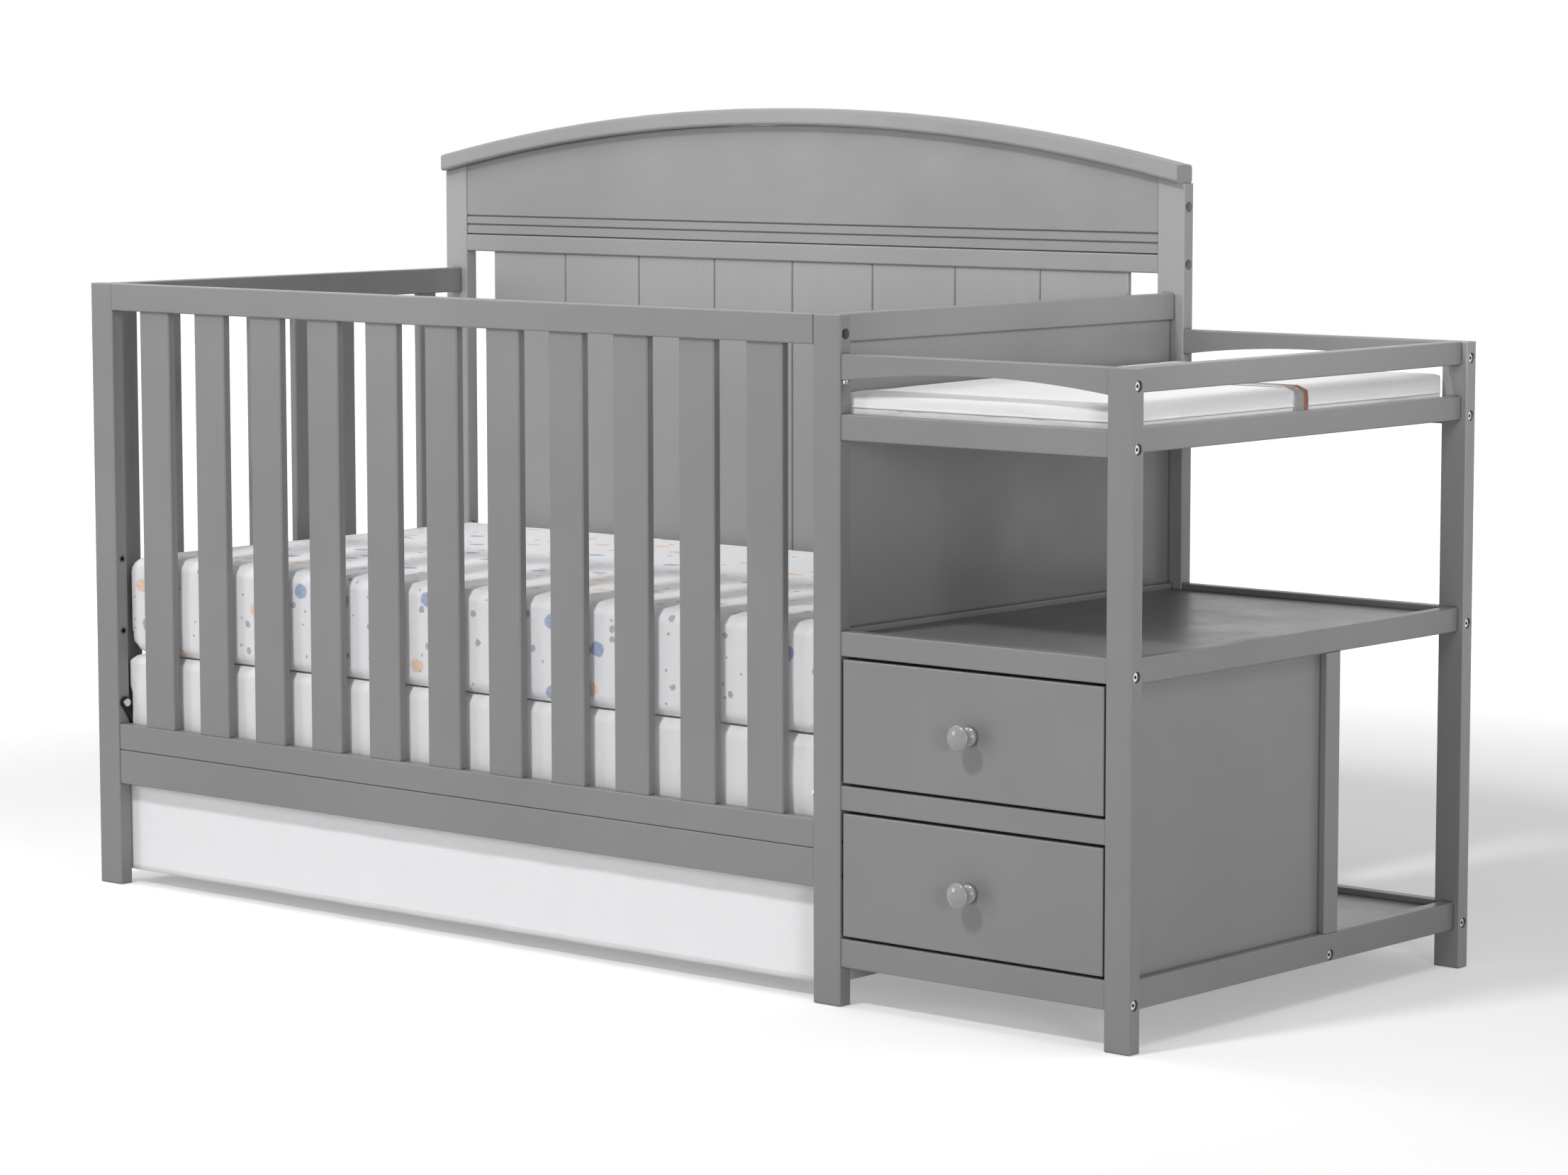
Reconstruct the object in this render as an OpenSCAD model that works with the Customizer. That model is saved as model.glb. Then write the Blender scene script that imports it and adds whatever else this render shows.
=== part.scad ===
// Crib with attached changing table: a slatted crib with an arched headboard, whose
// right end carries a changing table with a padded top, an open shelf and two drawers.
// Inside the helpers x runs from the outer left face, y from the front posts' front
// face towards the back and z up from the floor. model_frame() then moves the whole
// so that the origin lies on the floor under the middle of the whole, knobs included.

/* [Crib] */
// Clear distance between the crib's front posts
crib_gap = 1306; // [1290:1:1320]
// Depth of the frame over the posts
frame_d = 731; // [715:1:745]
// Width of the crib's posts, seen from the front
crib_post_w = 44; // [40:1:50]
// Thickness of every post, from front to back
post_t = 21; // [20:0.5:26]
// Height of the front posts
front_post_h = 860; // [845:1:880]
// Radius of the eased long edges
ease_r = 2; // [1:0.5:3]
// Thickness of the rails between the posts
rail_t = 18; // [17:0.5:18]
// Distance of the rails behind the posts' outer faces
rail_inset = 2; // [1:0.5:2.5]
// Thickness of the end rails and of the changer's side rails
end_rail_t = 20; // [18:1:22]

/* [Front and left end] */
// Height of the crib's front top rail
top_rail_h = 38; // [32:1:44]
// Underside of the stretcher above the floor
stretcher_z = 146; // [130:1:160]
// Height of the stretcher
stretcher_h = 49; // [40:1:55]
// Height of the bottom rails that carry the slats
bottom_rail_h = 37; // [32:1:40]
// Number of front slats
front_slats_n = 11; // [9:1:13]
// Width of a front slat
front_slat_w = 60; // [50:1:64]
// Thickness of all slats
slat_t = 13; // [11:0.5:15]
// Radius of the slats' long edges
slat_r = 2.5; // [1:0.5:4]
// Number of left end slats
end_slats_n = 7; // [6:1:8]
// Width of a left end slat
end_slat_w = 35; // [30:1:40]
// Width of the stile behind the front left post
end_stile_w = 37; // [30:1:44]
// Height of the left end's top rail
left_top_rail_h = 37; // [32:1:44]

/* [Right end] */
// Height of the right end's top rail
right_top_rail_h = 35; // [30:1:44]
// Thickness of the right end's panels
end_panel_t = 10; // [8:1:12]
// Distance of the panels behind the rails' outer face
end_panel_inset = 6.5; // [4:0.5:8]
// Distance of the right end's outer face from the crib post's outer side
right_end_inset = 15.5; // [14:0.5:17]

/* [Headboard] */
// Height of the crown's underside at its ends
crown_z = 1007; // [980:1:1030]
// Rise of the arch from the crown's ends to its middle
crown_rise = 73.5; // [50:0.5:90]
// Height of the crown's section
crown_h = 24; // [20:1:30]
// Overhang of the crown in front of the back posts
crown_overhang = 13; // [8:1:20]
// Distance of the crown's ends from the posts' outer sides
crown_end_inset = 3; // [1:1:6]
// Radius of the crown's long edges
crown_ease = 4.5; // [2:0.5:6]
// Thickness of the arched upper panel
upper_panel_t = 16; // [14:1:17]
// Height of the shadow gap over the cross rail, cut in the upper panel's lower edge
shadow_gap = 2; // [1:0.5:4]
// Depth of the shadow gap
shadow_depth = 6; // [3:0.5:8]
// Distance between the panel's two grooves, and of the lower one from the shadow gap
groove_pitch = 13; // [8:1:20]
// Side of the square section that cuts a groove
groove_size = 3; // [2:0.5:4]
// Underside of the cross rail
cross_rail_z = 886; // [870:1:900]
// Height of the cross rail
cross_rail_h = 25; // [20:1:26]
// Number of planks
planks_n = 8; // [6:1:10]
// Open gap between the planks and the back posts
plank_side_gap = 53; // [20:1:60]
// Thickness of a plank
plank_t = 8; // [6:0.5:10]
// Distance of the planks behind the cross rail's front face
plank_inset = 4; // [3:0.5:6]
// Bevel on the planks' front edges
plank_bevel = 2; // [1:0.5:3]

/* [Changing table] */
// Clear distance between the shared posts and the changer's own posts
changer_gap = 409; // [380:1:440]
// Width of the changer's own posts
changer_post_w = 38; // [34:1:44]
// How much lower the changer's own posts are than the crib's front posts
changer_drop = 48; // [30:1:70]
// Height of the arched top rails at their ends
arch_rail_h = 32.5; // [28:0.5:40]
// Rise of the arched rails' underside
arch_rise = 13; // [8:1:16]
// Distance of the lower rails' underside below the changer's top
lower_rail_drop = 106.5; // [90:0.5:125]
// Height of the lower rails
lower_rail_h = 32.5; // [28:0.5:40]
// Height of the two upper side rails
side_rail_h = 30; // [26:1:34]
// Distance of the lower side rail's underside below the changer's top
lower_side_drop = 100.5; // [90:0.5:120]
// Underside of the shelf rails
shelf_z = 439; // [430:1:450]
// Height of the shelf rails
shelf_rail_h = 31; // [28:1:36]
// Underside of the base rails
base_z = 50; // [40:1:60]
// Height of the base rails
base_rail_h = 36; // [32:1:40]
// Distance of the boards below the tops of their rails
board_drop = 8.5; // [6:0.5:12]
// Thickness of the three boards
board_t = 12; // [10:1:15]
// Section of the cleats under the boards
cleat = 10; // [8:1:10]

/* [Cabinet and drawers] */
// Depth of the drawer cabinet
cabinet_d = 446; // [430:1:480]
// Width of the cabinet's rear stile
rear_stile_w = 30; // [24:1:40]
// Thickness of the cabinet's side panel
side_panel_t = 9.5; // [8:0.5:10]
// Thickness of the cabinet's back panel
back_panel_t = 6; // [4:1:8]
// Depth of the cross rail under the base board
cross_bar_w = 20; // [18:1:30]
// Underside of the divider rail between the drawers
divider_z = 247; // [240:1:255]
// Height of the divider rail
divider_h = 31; // [26:1:36]
// Gap round a drawer front
drawer_gap = 3.5; // [2.5:0.5:5]
// Thickness of a drawer front
drawer_front_t = 18; // [16:1:20]
// Distance of the drawer fronts behind the posts' front faces
drawer_inset = 1; // [0:0.5:3]
// Length of a drawer box behind its front
drawer_box_l = 385; // [350:5:390]
// Height of a drawer box
drawer_box_h = 116; // [90:1:125]
// Thickness of the drawer box sides
drawer_side_t = 12; // [10:1:15]
// Thickness of a drawer's bottom
drawer_bottom_t = 5; // [4:1:8]
// Height of a drawer box above its front's lower edge
drawer_box_lift = 14; // [10:1:18]
// Height of a steel runner
runner_h = 34; // [28:1:40]
// Depth of a steel runner
runner_d = 9; // [8:0.5:10]
// Thickness of the runner's sheet
runner_sheet = 1.5; // [1:0.5:2]
// Clearance between runner and slide bar
runner_clear = 0.5; // [0.4:0.1:1]
// Distance from the post line to the drawer box
runner_space = 12.5; // [12:0.5:14]
// Diameter of a knob's head
knob_d = 32; // [28:1:38]
// Length of a knob
knob_l = 30; // [26:1:36]
// Thickness of a knob's rounded rim
knob_rim_t = 5; // [3:0.5:7]
// Height of a knob's domed face over its rim
knob_dome = 4; // [2:0.5:7]
// Diameter of a knob's collar
knob_collar_d = 23; // [18:1:26]
// Thickness of a knob's collar
knob_collar_t = 3; // [2:0.5:4]
// Diameter of a knob's neck
knob_neck_d = 14; // [10:1:16]

/* [Bedding] */
// Gap between the upper mattress and the rails of both ends
mattress_end_clear = 1.5; // [1:0.5:8]
// Gap between the mattresses and the front and back rails
mattress_clear = 3; // [2:0.5:20]
// Underside of the foundation mattress
foundation_z = 214; // [214:1:220]
// Thickness of the foundation mattress at its edge
foundation_h = 117; // [100:1:125]
// Thickness of the upper mattress at its edge
mattress_h = 134; // [100:1:150]
// Crown of the upper mattress over its edge
mattress_crown = 5; // [2:1:12]
// Radius of the foundation mattress's edges
foundation_r = 14; // [8:1:25]
// Radius of the upper mattress's edges
mattress_r = 30; // [20:1:45]
// Radius of the upper mattress's upright corners
mattress_corner = 16; // [12:1:60]
// Radius of the foundation mattress's upright corners
block_corner = 10; // [8:1:40]
// Height of the skirt's hem above the floor
skirt_hem_z = 20; // [12:1:40]
// Thickness of the skirt's cloth
cloth_t = 1.6; // [1:0.1:3]
// Depth of the skirt's folds
skirt_wave = 1.5; // [0.5:0.25:2]
// Number of folds along the front
skirt_waves_n = 9; // [5:1:14]

/* [Changing pad] */
// Gap between the pad and the end panel or side rail
pad_side_clear = 5.5; // [5:0.5:12]
// Gap between the pad and the front and back posts' line
pad_end_clear = 2.5; // [2:0.5:12]
// Thickness of the pad at its edge
pad_h = 34; // [28:1:45]
// Crown of the pad over its edge
pad_crown = 5; // [3:1:16]
// Radius of the pad's edges
pad_r = 10; // [8:1:16]
// Radius of the pad's upright corners
pad_corner = 12; // [9:1:40]
// Width of the strap
strap_w = 27; // [20:1:40]
// Thickness of the strap
strap_t = 1.4; // [1:0.1:2]
// Distance of the strap behind the pad's middle
strap_offset = 25; // [-150:0.5:150]

/* [Mattress support and fasteners] */
// Top of the steel mattress support
support_z = 212; // [205:1:212]
// Leg length of the support's angle steel
angle_leg = 25; // [20:1:30]
// Thickness of the support's steel
angle_t = 2.5; // [2:0.5:4]
// Number of cross straps in the support
cross_straps_n = 8; // [8:1:12]
// Height of the bracket bolt in use
bracket_bolt_z = 262.3; // [255:0.1:270]
// Distance between the support heights
height_step = 102.8; // [95:0.1:110]
// Number of support heights
heights_n = 3; // [2:1:4]
// Thickness of a bracket plate
bracket_t = 3; // [2:0.5:4]
// Width of a bracket plate
bracket_w = 16; // [13:1:18]
// Length of the bracket's foot along the support
bracket_foot = 20; // [15:1:30]
// Diameter of the frame bolts' shanks
bolt_d = 6; // [5:0.5:6]
// Length of a frame bolt under its head
bolt_l = 60; // [55:1:65]
// Diameter of a frame bolt's head
bolt_head_d = 11; // [10:0.5:12]
// Height of a frame bolt's head
bolt_head_h = 3.5; // [3:0.5:4]
// Diameter of the counterbores for the bolt heads
counterbore_d = 13.8; // [13:0.1:15]
// Wood left between a counterbore and the joint
bolt_wall = 32; // [28:1:33]
// Distance of most bolts below the middle of their rail
bolt_drop = 5; // [3:0.5:6]
// Distance of the base rails' bolts below the middle of the rail
base_bolt_drop = 9; // [5:0.5:10]
// Height of the bolt into the arched upper panel
panel_bolt_z = 975.3; // [960:0.1:985]
// Clearance of a bolt or nut in its hole, on the diameter
hole_clear = 0.6; // [0.4:0.1:1]
// Diameter of a barrel nut
nut_d = 10; // [9:0.5:11]
// Length of a barrel nut
nut_l = 12; // [10:0.5:13]
// Depth of a barrel nut's middle behind the joint
nut_depth = 20; // [16:1:24]

/* [Hidden] */
$fn = 48;
arch_fn = 720;
eps = 0.01;
paint = "#8e8f90";
panel_paint = "#9b9c9d";
steel = "#c9cacb";
black_steel = "#26272a";
sheet_white = "#e9e8e6";
pad_grey = "#dcdcda";
stripe_grey = "#a9a49c";
pale_wood = "#cdb58c";

// Lengths
crib_l = crib_gap + 2 * crib_post_w;
total_l = crib_l + changer_gap + changer_post_w;
knob_reach = knob_l - drawer_inset;
inner_x = [crib_post_w, crib_post_w + crib_gap];
changer_x = [crib_l, crib_l + changer_gap];
inner_y = [post_t, frame_d - post_t];
front_rail_y = [rail_inset, rail_inset + rail_t];
back_rail_y = [frame_d - rail_inset - rail_t, frame_d - rail_inset];
bolt_y = [post_t / 2, frame_d - post_t / 2];

// Heights
changer_h = front_post_h - changer_drop;
lower_rail_z = changer_h - lower_rail_drop;
lower_side_z = changer_h - lower_side_drop;
bottom_rail_z = stretcher_z + stretcher_h;
slat_z = [bottom_rail_z + bottom_rail_h, front_post_h - top_rail_h];
left_slat_z = [slat_z[0], front_post_h - left_top_rail_h];
right_top_z = front_post_h - right_top_rail_h;
shelf_top = shelf_z + shelf_rail_h;
base_top = base_z + base_rail_h;
lower_top = lower_rail_z + lower_rail_h;
shelf_board_z = shelf_top - board_drop - board_t;
base_board_z = base_top - board_drop - board_t;
changing_board_z = lower_top - board_drop - board_t;
changing_board_top = changing_board_z + board_t;

// Left and right ends
left_end_x = [(crib_post_w - end_rail_t) / 2, (crib_post_w + end_rail_t) / 2];
right_end_x = [crib_l - right_end_inset - end_rail_t, crib_l - right_end_inset];
end_panel_x = [right_end_x[1] - end_panel_inset - end_panel_t,
               right_end_x[1] - end_panel_inset];
side_mid_x = total_l - changer_post_w / 2;
side_rail_x = [side_mid_x - end_rail_t / 2, side_mid_x + end_rail_t / 2];

// Headboard arch: a circle through the crown's ends and its middle
arch_half = crib_l / 2 - crown_end_inset;
arch_r = (arch_half * arch_half + crown_rise * crown_rise) / (2 * crown_rise);
arch_centre = [crib_l / 2, crown_z + crown_rise - arch_r];
arch_angle = asin(crib_l / 2 / arch_r);
function arch_z(x) = arch_centre[1] + sqrt(pow(arch_r, 2) - pow(x - arch_centre[0], 2));
panel_clear = 0.3;
crown_y = [frame_d - post_t - crown_overhang, frame_d];
plank_w = (crib_gap - 2 * plank_side_gap) / planks_n;
upper_panel_z = cross_rail_z + cross_rail_h;
plank_y = back_rail_y[0] + plank_inset;
upper_panel_y = back_rail_y[0] + 1;

// Changer arch
side_arch_r = (pow(changer_gap / 2, 2) + arch_rise * arch_rise) / (2 * arch_rise);

// Bolt heights
crib_front_bolts = [front_post_h - top_rail_h / 2 - bolt_drop,
                    bottom_rail_z + bottom_rail_h / 2 - bolt_drop,
                    stretcher_z + stretcher_h / 2 - bolt_drop];
crib_back_bolts = [panel_bolt_z, cross_rail_z + cross_rail_h / 2,
                   bottom_rail_z + bottom_rail_h / 2 - bolt_drop];
changer_bolts = [changer_h - arch_rail_h / 2 - bolt_drop,
                 lower_rail_z + lower_rail_h / 2 - bolt_drop,
                 shelf_z + shelf_rail_h / 2 - bolt_drop,
                 base_z + base_rail_h / 2 - base_bolt_drop];
cross_bolt_z = (base_z + base_board_z) / 2;
cross_counterbore = 6;
support_holes = [for (i = [0 : heights_n - 1]) bracket_bolt_z + i * height_step];
insert_d = 8;
insert_l = 12;
insert_flange_d = 10.5;
insert_flange_t = 0.8;
insert_y = 12;
insert_fit = 0.3;

// Drawers
drawer_zs = [base_top + drawer_gap, divider_z + divider_h + drawer_gap];
drawer_front_h = divider_z - base_top - 2 * drawer_gap;
drawer_x = [changer_x[0] + drawer_gap, changer_x[1] - drawer_gap];
drawer_mid_x = (changer_x[0] + changer_x[1]) / 2;
box_x = [changer_x[0] + runner_space, changer_x[1] - runner_space];
box_y = [drawer_inset + drawer_front_t, drawer_inset + drawer_front_t + drawer_box_l];
box_inner_x = [box_x[0] + drawer_side_t, box_x[1] - drawer_side_t];
box_inner_y = box_y[1] - drawer_side_t;
drawer_bottom_lift = 8;
runner_lift = 40;
stile_y = [cabinet_d - rear_stile_w, cabinet_d];
stile_mid_y = (stile_y[0] + stile_y[1]) / 2;
cross_bar_y = [stile_mid_y - cross_bar_w / 2, stile_mid_y + cross_bar_w / 2];
back_panel_y = [stile_y[0] + 8, stile_y[0] + 8 + back_panel_t];

// Bedding
bed_x = [left_end_x[1] + mattress_end_clear, right_end_x[0] - mattress_end_clear];
bed_y = [front_rail_y[1] + mattress_clear, back_rail_y[0] - mattress_clear];
mattress_l = bed_x[1] - bed_x[0];
mattress_w = bed_y[1] - bed_y[0];
support_x = [inner_x[0] + bracket_t, inner_x[1] - bracket_t];
support_y = [bed_y[0] + 2 * skirt_wave + cloth_t + 1,
             bed_y[1] - 2 * skirt_wave - cloth_t - 1];
foot_end_y = support_y[0] + bracket_foot;
soft_gap = 0.3;
block_l = support_x[1] - support_x[0] - 2 * soft_gap;
deck_t = 1.5;
mattress_z = foundation_z + foundation_h + soft_gap;
pad_mid = [(end_panel_x[1] + side_rail_x[0]) / 2, frame_d / 2];
pad_w = side_rail_x[0] - end_panel_x[1] - 2 * pad_side_clear;
pad_l = inner_y[1] - inner_y[0] - 2 * pad_end_clear;
pad_z = changing_board_top + soft_gap;

// ---------------------------------------------------------------- helpers

module model_frame() {
    translate([-total_l / 2, -(frame_d - knob_reach) / 2, 0]) children();
}

// A plain block between two corners, each axis given as [low, high]
module block(x, y, z) {
    translate([x[0], y[0], z[0]]) cube([x[1] - x[0], y[1] - y[0], z[1] - z[0]]);
}

// A rectangle whose corners are rounded to the radius r
module eased_rect(w, h, r) {
    translate([r, 0]) square([w - 2 * r, h]);
    translate([0, r]) square([w, h - 2 * r]);
    for (u = [r, w - r], v = [r, h - r]) translate([u, v]) circle(r);
}

// The same outline with each corner turned in a few short steps, for a section that
// is swept round a bend
corner_steps = 3;
function eased_corner(c, r, a0) = [for (i = [0 : corner_steps])
    let (a = a0 + 90 * i / corner_steps) [c[0] + r * cos(a), c[1] + r * sin(a)]];
function eased_outline(w, h, r) = concat(
    eased_corner([w - r, h - r], r, 0), eased_corner([r, h - r], r, 90),
    eased_corner([r, r], r, 180), eased_corner([w - r, r], r, 270));

// Bars with rounded long edges that run along one axis
module bar_x(x, y, z, r = ease_r) {
    translate([x[0], y[0], z[0]]) rotate([90, 0, 90])
        linear_extrude(x[1] - x[0]) eased_rect(y[1] - y[0], z[1] - z[0], r);
}

module bar_y(x, y, z, r = ease_r) {
    translate([x[0], y[1], z[0]]) rotate([90, 0, 0])
        linear_extrude(y[1] - y[0]) eased_rect(x[1] - x[0], z[1] - z[0], r);
}

module bar_z(x, y, z, r = ease_r) {
    translate([x[0], y[0], z[0]])
        linear_extrude(z[1] - z[0]) eased_rect(x[1] - x[0], y[1] - y[0], r);
}

// A board or post whose twelve edges are all rounded
module eased_block(x, y, z, r = ease_r) {
    intersection() {
        bar_x(x, y, z, r);
        bar_y(x, y, z, r);
        bar_z(x, y, z, r);
    }
}

// A round rod along x that starts at the given point; a negative length runs back
module rod_x(p, d, l) {
    translate(p) rotate([0, l < 0 ? -90 : 90, 0]) cylinder(d = d, h = abs(l));
}

// A round rod along y, with the same meaning
module rod_y(p, d, l) {
    translate(p) rotate([l < 0 ? 90 : -90, 0, 0]) cylinder(d = d, h = abs(l));
}

// The hole of a bolt that enters a post at face x and goes in the direction dir
module bolt_hole(x, y, z, dir, post_w) {
    rod_x([x - dir * eps, y, z], counterbore_d, dir * (post_w - bolt_wall + eps));
    rod_x([x, y, z], bolt_d + hole_clear, dir * (post_w + eps));
}

// The cuts in a rail for the bolt and its barrel nut: x is the joint face and dir
// points into the rail; the nut enters from the rail's back, where it doesn't show
module nut_cut(x, y, z, dir) {
    rod_x([x - dir * eps, y, z], bolt_d + hole_clear,
          dir * (bolt_l - bolt_wall + hole_clear));
    rod_y([x + dir * nut_depth, y - nut_l / 2, z], nut_d + hole_clear, post_t);
}

module nut_cuts(x, y, z) {
    nut_cut(x[0], y, z, 1);
    nut_cut(x[1], y, z, -1);
}

module frame_bolt(x, y, z, dir, post_w) {
    seat = x + dir * (post_w - bolt_wall);
    socket_d = bolt_head_d * 0.45;
    difference() {
        union() {
            rod_x([seat, y, z], bolt_head_d, -dir * bolt_head_h);
            rod_x([seat - dir * eps, y, z], bolt_d, dir * (bolt_l + eps));
        }
        translate([seat - dir * bolt_head_h, y, z]) rotate([0, dir * 90, 0])
            translate([0, 0, -eps]) cylinder(d = socket_d, h = bolt_head_h * 0.7, $fn = 6);
    }
}

module barrel_nut(x, y, z, dir) {
    mid = [x + dir * nut_depth, y, z];
    difference() {
        rod_y(mid - [0, nut_l / 2, 0], nut_d, nut_l);
        rod_x(mid - [nut_d, 0, 0], bolt_d + hole_clear / 2, 2 * nut_d);
    }
}

module insert_holes(x, y, dir) {
    for (z = support_holes) {
        rod_x([x - dir * eps, y, z], insert_d + insert_fit, dir * (insert_l + 1));
        rod_x([x - dir * eps, y, z], insert_flange_d + insert_fit,
              dir * (insert_flange_t + eps));
    }
}

// ---------------------------------------------------------------- posts

module front_left_post() {
    color(paint) model_frame() difference() {
        eased_block([0, crib_post_w], [0, post_t], [0, front_post_h]);
        for (z = crib_front_bolts) bolt_hole(0, bolt_y[0], z, 1, crib_post_w);
        insert_holes(inner_x[0], insert_y, -1);
    }
}

module front_right_post() {
    color(paint) model_frame() difference() {
        eased_block([inner_x[1], crib_l], [0, post_t], [0, front_post_h]);
        for (z = crib_front_bolts) bolt_hole(crib_l, bolt_y[0], z, -1, crib_post_w);
        for (z = changer_bolts) bolt_hole(inner_x[1], bolt_y[0], z, 1, crib_post_w);
        insert_holes(inner_x[1], insert_y, 1);
    }
}

// The sloped line, from the crown's end to the post's inner edge, that tops a post
function seat_z(x) = crown_z + (x - crown_end_inset)
    * (arch_z(crib_post_w) - crown_z) / (crib_post_w - crown_end_inset);

// The left back post, whose sloped top carries the crown
module back_post() {
    over = crown_z + crown_rise;
    difference() {
        bar_z([0, crib_post_w], [inner_y[1], frame_d], [0, over]);
        translate([0, frame_d + 1, 0]) rotate([90, 0, 0]) linear_extrude(post_t + 2)
            polygon([[-1, seat_z(-1)], [crib_post_w + 1, seat_z(crib_post_w + 1)],
                     [crib_post_w + 1, over + 1], [-1, over + 1]]);
    }
}

module back_left_post() {
    color(paint) model_frame() difference() {
        back_post();
        for (z = crib_back_bolts) bolt_hole(0, bolt_y[1], z, 1, crib_post_w);
        insert_holes(inner_x[0], frame_d - insert_y, -1);
    }
}

module back_right_post() {
    color(paint) model_frame() difference() {
        translate([crib_l, 0, 0]) mirror([1, 0, 0]) back_post();
        for (z = crib_back_bolts) bolt_hole(crib_l, bolt_y[1], z, -1, crib_post_w);
        for (z = changer_bolts) bolt_hole(inner_x[1], bolt_y[1], z, 1, crib_post_w);
        insert_holes(inner_x[1], frame_d - insert_y, 1);
    }
}

module changer_post(y, bolt) {
    difference() {
        eased_block([changer_x[1], total_l], y, [0, changer_h]);
        for (z = changer_bolts) bolt_hole(total_l, bolt, z, -1, changer_post_w);
    }
}

module changer_front_post() {
    color(paint) model_frame() changer_post([0, post_t], bolt_y[0]);
}

module changer_back_post() {
    color(paint) model_frame() changer_post([inner_y[1], frame_d], bolt_y[1]);
}

// ---------------------------------------------------------------- crib front

module front_top_rail() {
    color(paint) model_frame() difference() {
        bar_x(inner_x, [0, post_t], [front_post_h - top_rail_h, front_post_h]);
        nut_cuts(inner_x, bolt_y[0], crib_front_bolts[0]);
    }
}

module front_slats() {
    gap = (crib_gap - front_slats_n * front_slat_w) / (front_slats_n + 1);
    y0 = front_rail_y[0] + (rail_t - slat_t) / 2;
    color(paint) model_frame() for (i = [0 : front_slats_n - 1]) {
        x0 = inner_x[0] + gap + i * (front_slat_w + gap);
        bar_z([x0, x0 + front_slat_w], [y0, y0 + slat_t], slat_z, slat_r);
    }
}

module front_bottom_rail() {
    color(paint) model_frame() difference() {
        bar_x(inner_x, front_rail_y, [bottom_rail_z, bottom_rail_z + bottom_rail_h]);
        nut_cuts(inner_x, bolt_y[0], crib_front_bolts[1]);
    }
}

module front_stretcher() {
    color(paint) model_frame() difference() {
        bar_x(inner_x, front_rail_y, [stretcher_z, bottom_rail_z]);
        nut_cuts(inner_x, bolt_y[0], crib_front_bolts[2]);
    }
}

// ---------------------------------------------------------------- left end

module left_end_rails() {
    color(paint) model_frame() {
        bar_y(left_end_x, inner_y, [left_slat_z[1], front_post_h]);
        bar_y(left_end_x, inner_y, [bottom_rail_z, left_slat_z[0]]);
    }
}

module left_end_stile() {
    color(paint) model_frame()
        bar_z(left_end_x, [post_t, post_t + end_stile_w], left_slat_z);
}

module left_end_slats() {
    first = post_t + end_stile_w;
    gap = (inner_y[1] - first - end_slats_n * end_slat_w) / (end_slats_n + 1);
    x0 = crib_post_w / 2 - slat_t / 2;
    color(paint) model_frame() for (i = [0 : end_slats_n - 1]) {
        y0 = first + gap + i * (end_slat_w + gap);
        bar_z([x0, x0 + slat_t], [y0, y0 + end_slat_w], left_slat_z, slat_r);
    }
}

// ---------------------------------------------------------------- right end

module right_end_rails() {
    color(paint) model_frame() {
        bar_y(right_end_x, inner_y, [right_top_z, front_post_h]);
        bar_y(right_end_x, inner_y, [shelf_z, shelf_top]);
        bar_y(right_end_x, inner_y, [base_z, base_top]);
    }
}

module right_end_panels() {
    color(paint) model_frame() {
        block(end_panel_x, inner_y, [shelf_top, right_top_z]);
        block(end_panel_x, inner_y, [base_top, shelf_z]);
    }
}

// ---------------------------------------------------------------- headboard

// The crown: one section turned about the arch's centre, with its ends cut upright
module headboard_crown() {
    depth = crown_y[1] - crown_y[0];
    color(panel_paint) model_frame() intersection() {
        translate([arch_centre[0], crown_y[1], arch_centre[1]]) rotate([90, 0, 0])
            rotate([0, 0, 90 - arch_angle])
            rotate_extrude(angle = 2 * arch_angle, $fn = arch_fn)
            translate([arch_r, 0]) polygon(eased_outline(crown_h, depth, crown_ease));
        block([crown_end_inset, crib_l - crown_end_inset],
              [crown_y[0] - 1, crown_y[1] + 1],
              [crown_z - 1, crown_z + crown_rise + crown_h + 1]);
    }
}

module headboard_upper_panel() {
    color(panel_paint) model_frame() difference() {
        intersection() {
            block(inner_x, [upper_panel_y, upper_panel_y + upper_panel_t],
                  [upper_panel_z, crown_z + 2 * crown_rise]);
            translate([arch_centre[0], frame_d + 1, arch_centre[1]]) rotate([90, 0, 0])
                cylinder(r = arch_r - panel_clear, h = post_t * 2, $fn = arch_fn);
        }
        for (i = [1, 2]) {
            translate([inner_x[0] - 1, upper_panel_y,
                       upper_panel_z + shadow_gap + i * groove_pitch])
                rotate([45, 0, 0]) translate([0, -groove_size / 2, -groove_size / 2])
                cube([crib_gap + 2, groove_size, groove_size]);
        }
        block([inner_x[0] - 1, inner_x[1] + 1],
              [upper_panel_y - 1, upper_panel_y + shadow_depth],
              [upper_panel_z - 1, upper_panel_z + shadow_gap]);
        nut_cuts(inner_x, bolt_y[1], panel_bolt_z);
    }
}

module headboard_cross_rail() {
    color(panel_paint) model_frame() difference() {
        bar_x(inner_x, back_rail_y, [cross_rail_z, cross_rail_z + cross_rail_h]);
        nut_cuts(inner_x, bolt_y[1], crib_back_bolts[1]);
    }
}

// One board's width in plan: its bevelled front edges meet the next in a V-groove
module plank_plan() {
    polygon([[plank_bevel, 0], [plank_w - plank_bevel, 0], [plank_w, plank_bevel],
             [plank_w, plank_t], [0, plank_t], [0, plank_bevel]]);
}

module headboard_plank_panel() {
    color(panel_paint) model_frame()
        translate([inner_x[0] + plank_side_gap, plank_y, slat_z[0]])
        linear_extrude(cross_rail_z - slat_z[0])
        for (i = [0 : planks_n - 1]) translate([i * plank_w, 0]) plank_plan();
}

module headboard_bottom_rail() {
    color(paint) model_frame() difference() {
        bar_x(inner_x, back_rail_y, [bottom_rail_z, slat_z[0]]);
        nut_cuts(inner_x, bolt_y[1], crib_back_bolts[2]);
    }
}

// ---------------------------------------------------------------- mattress support

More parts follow.
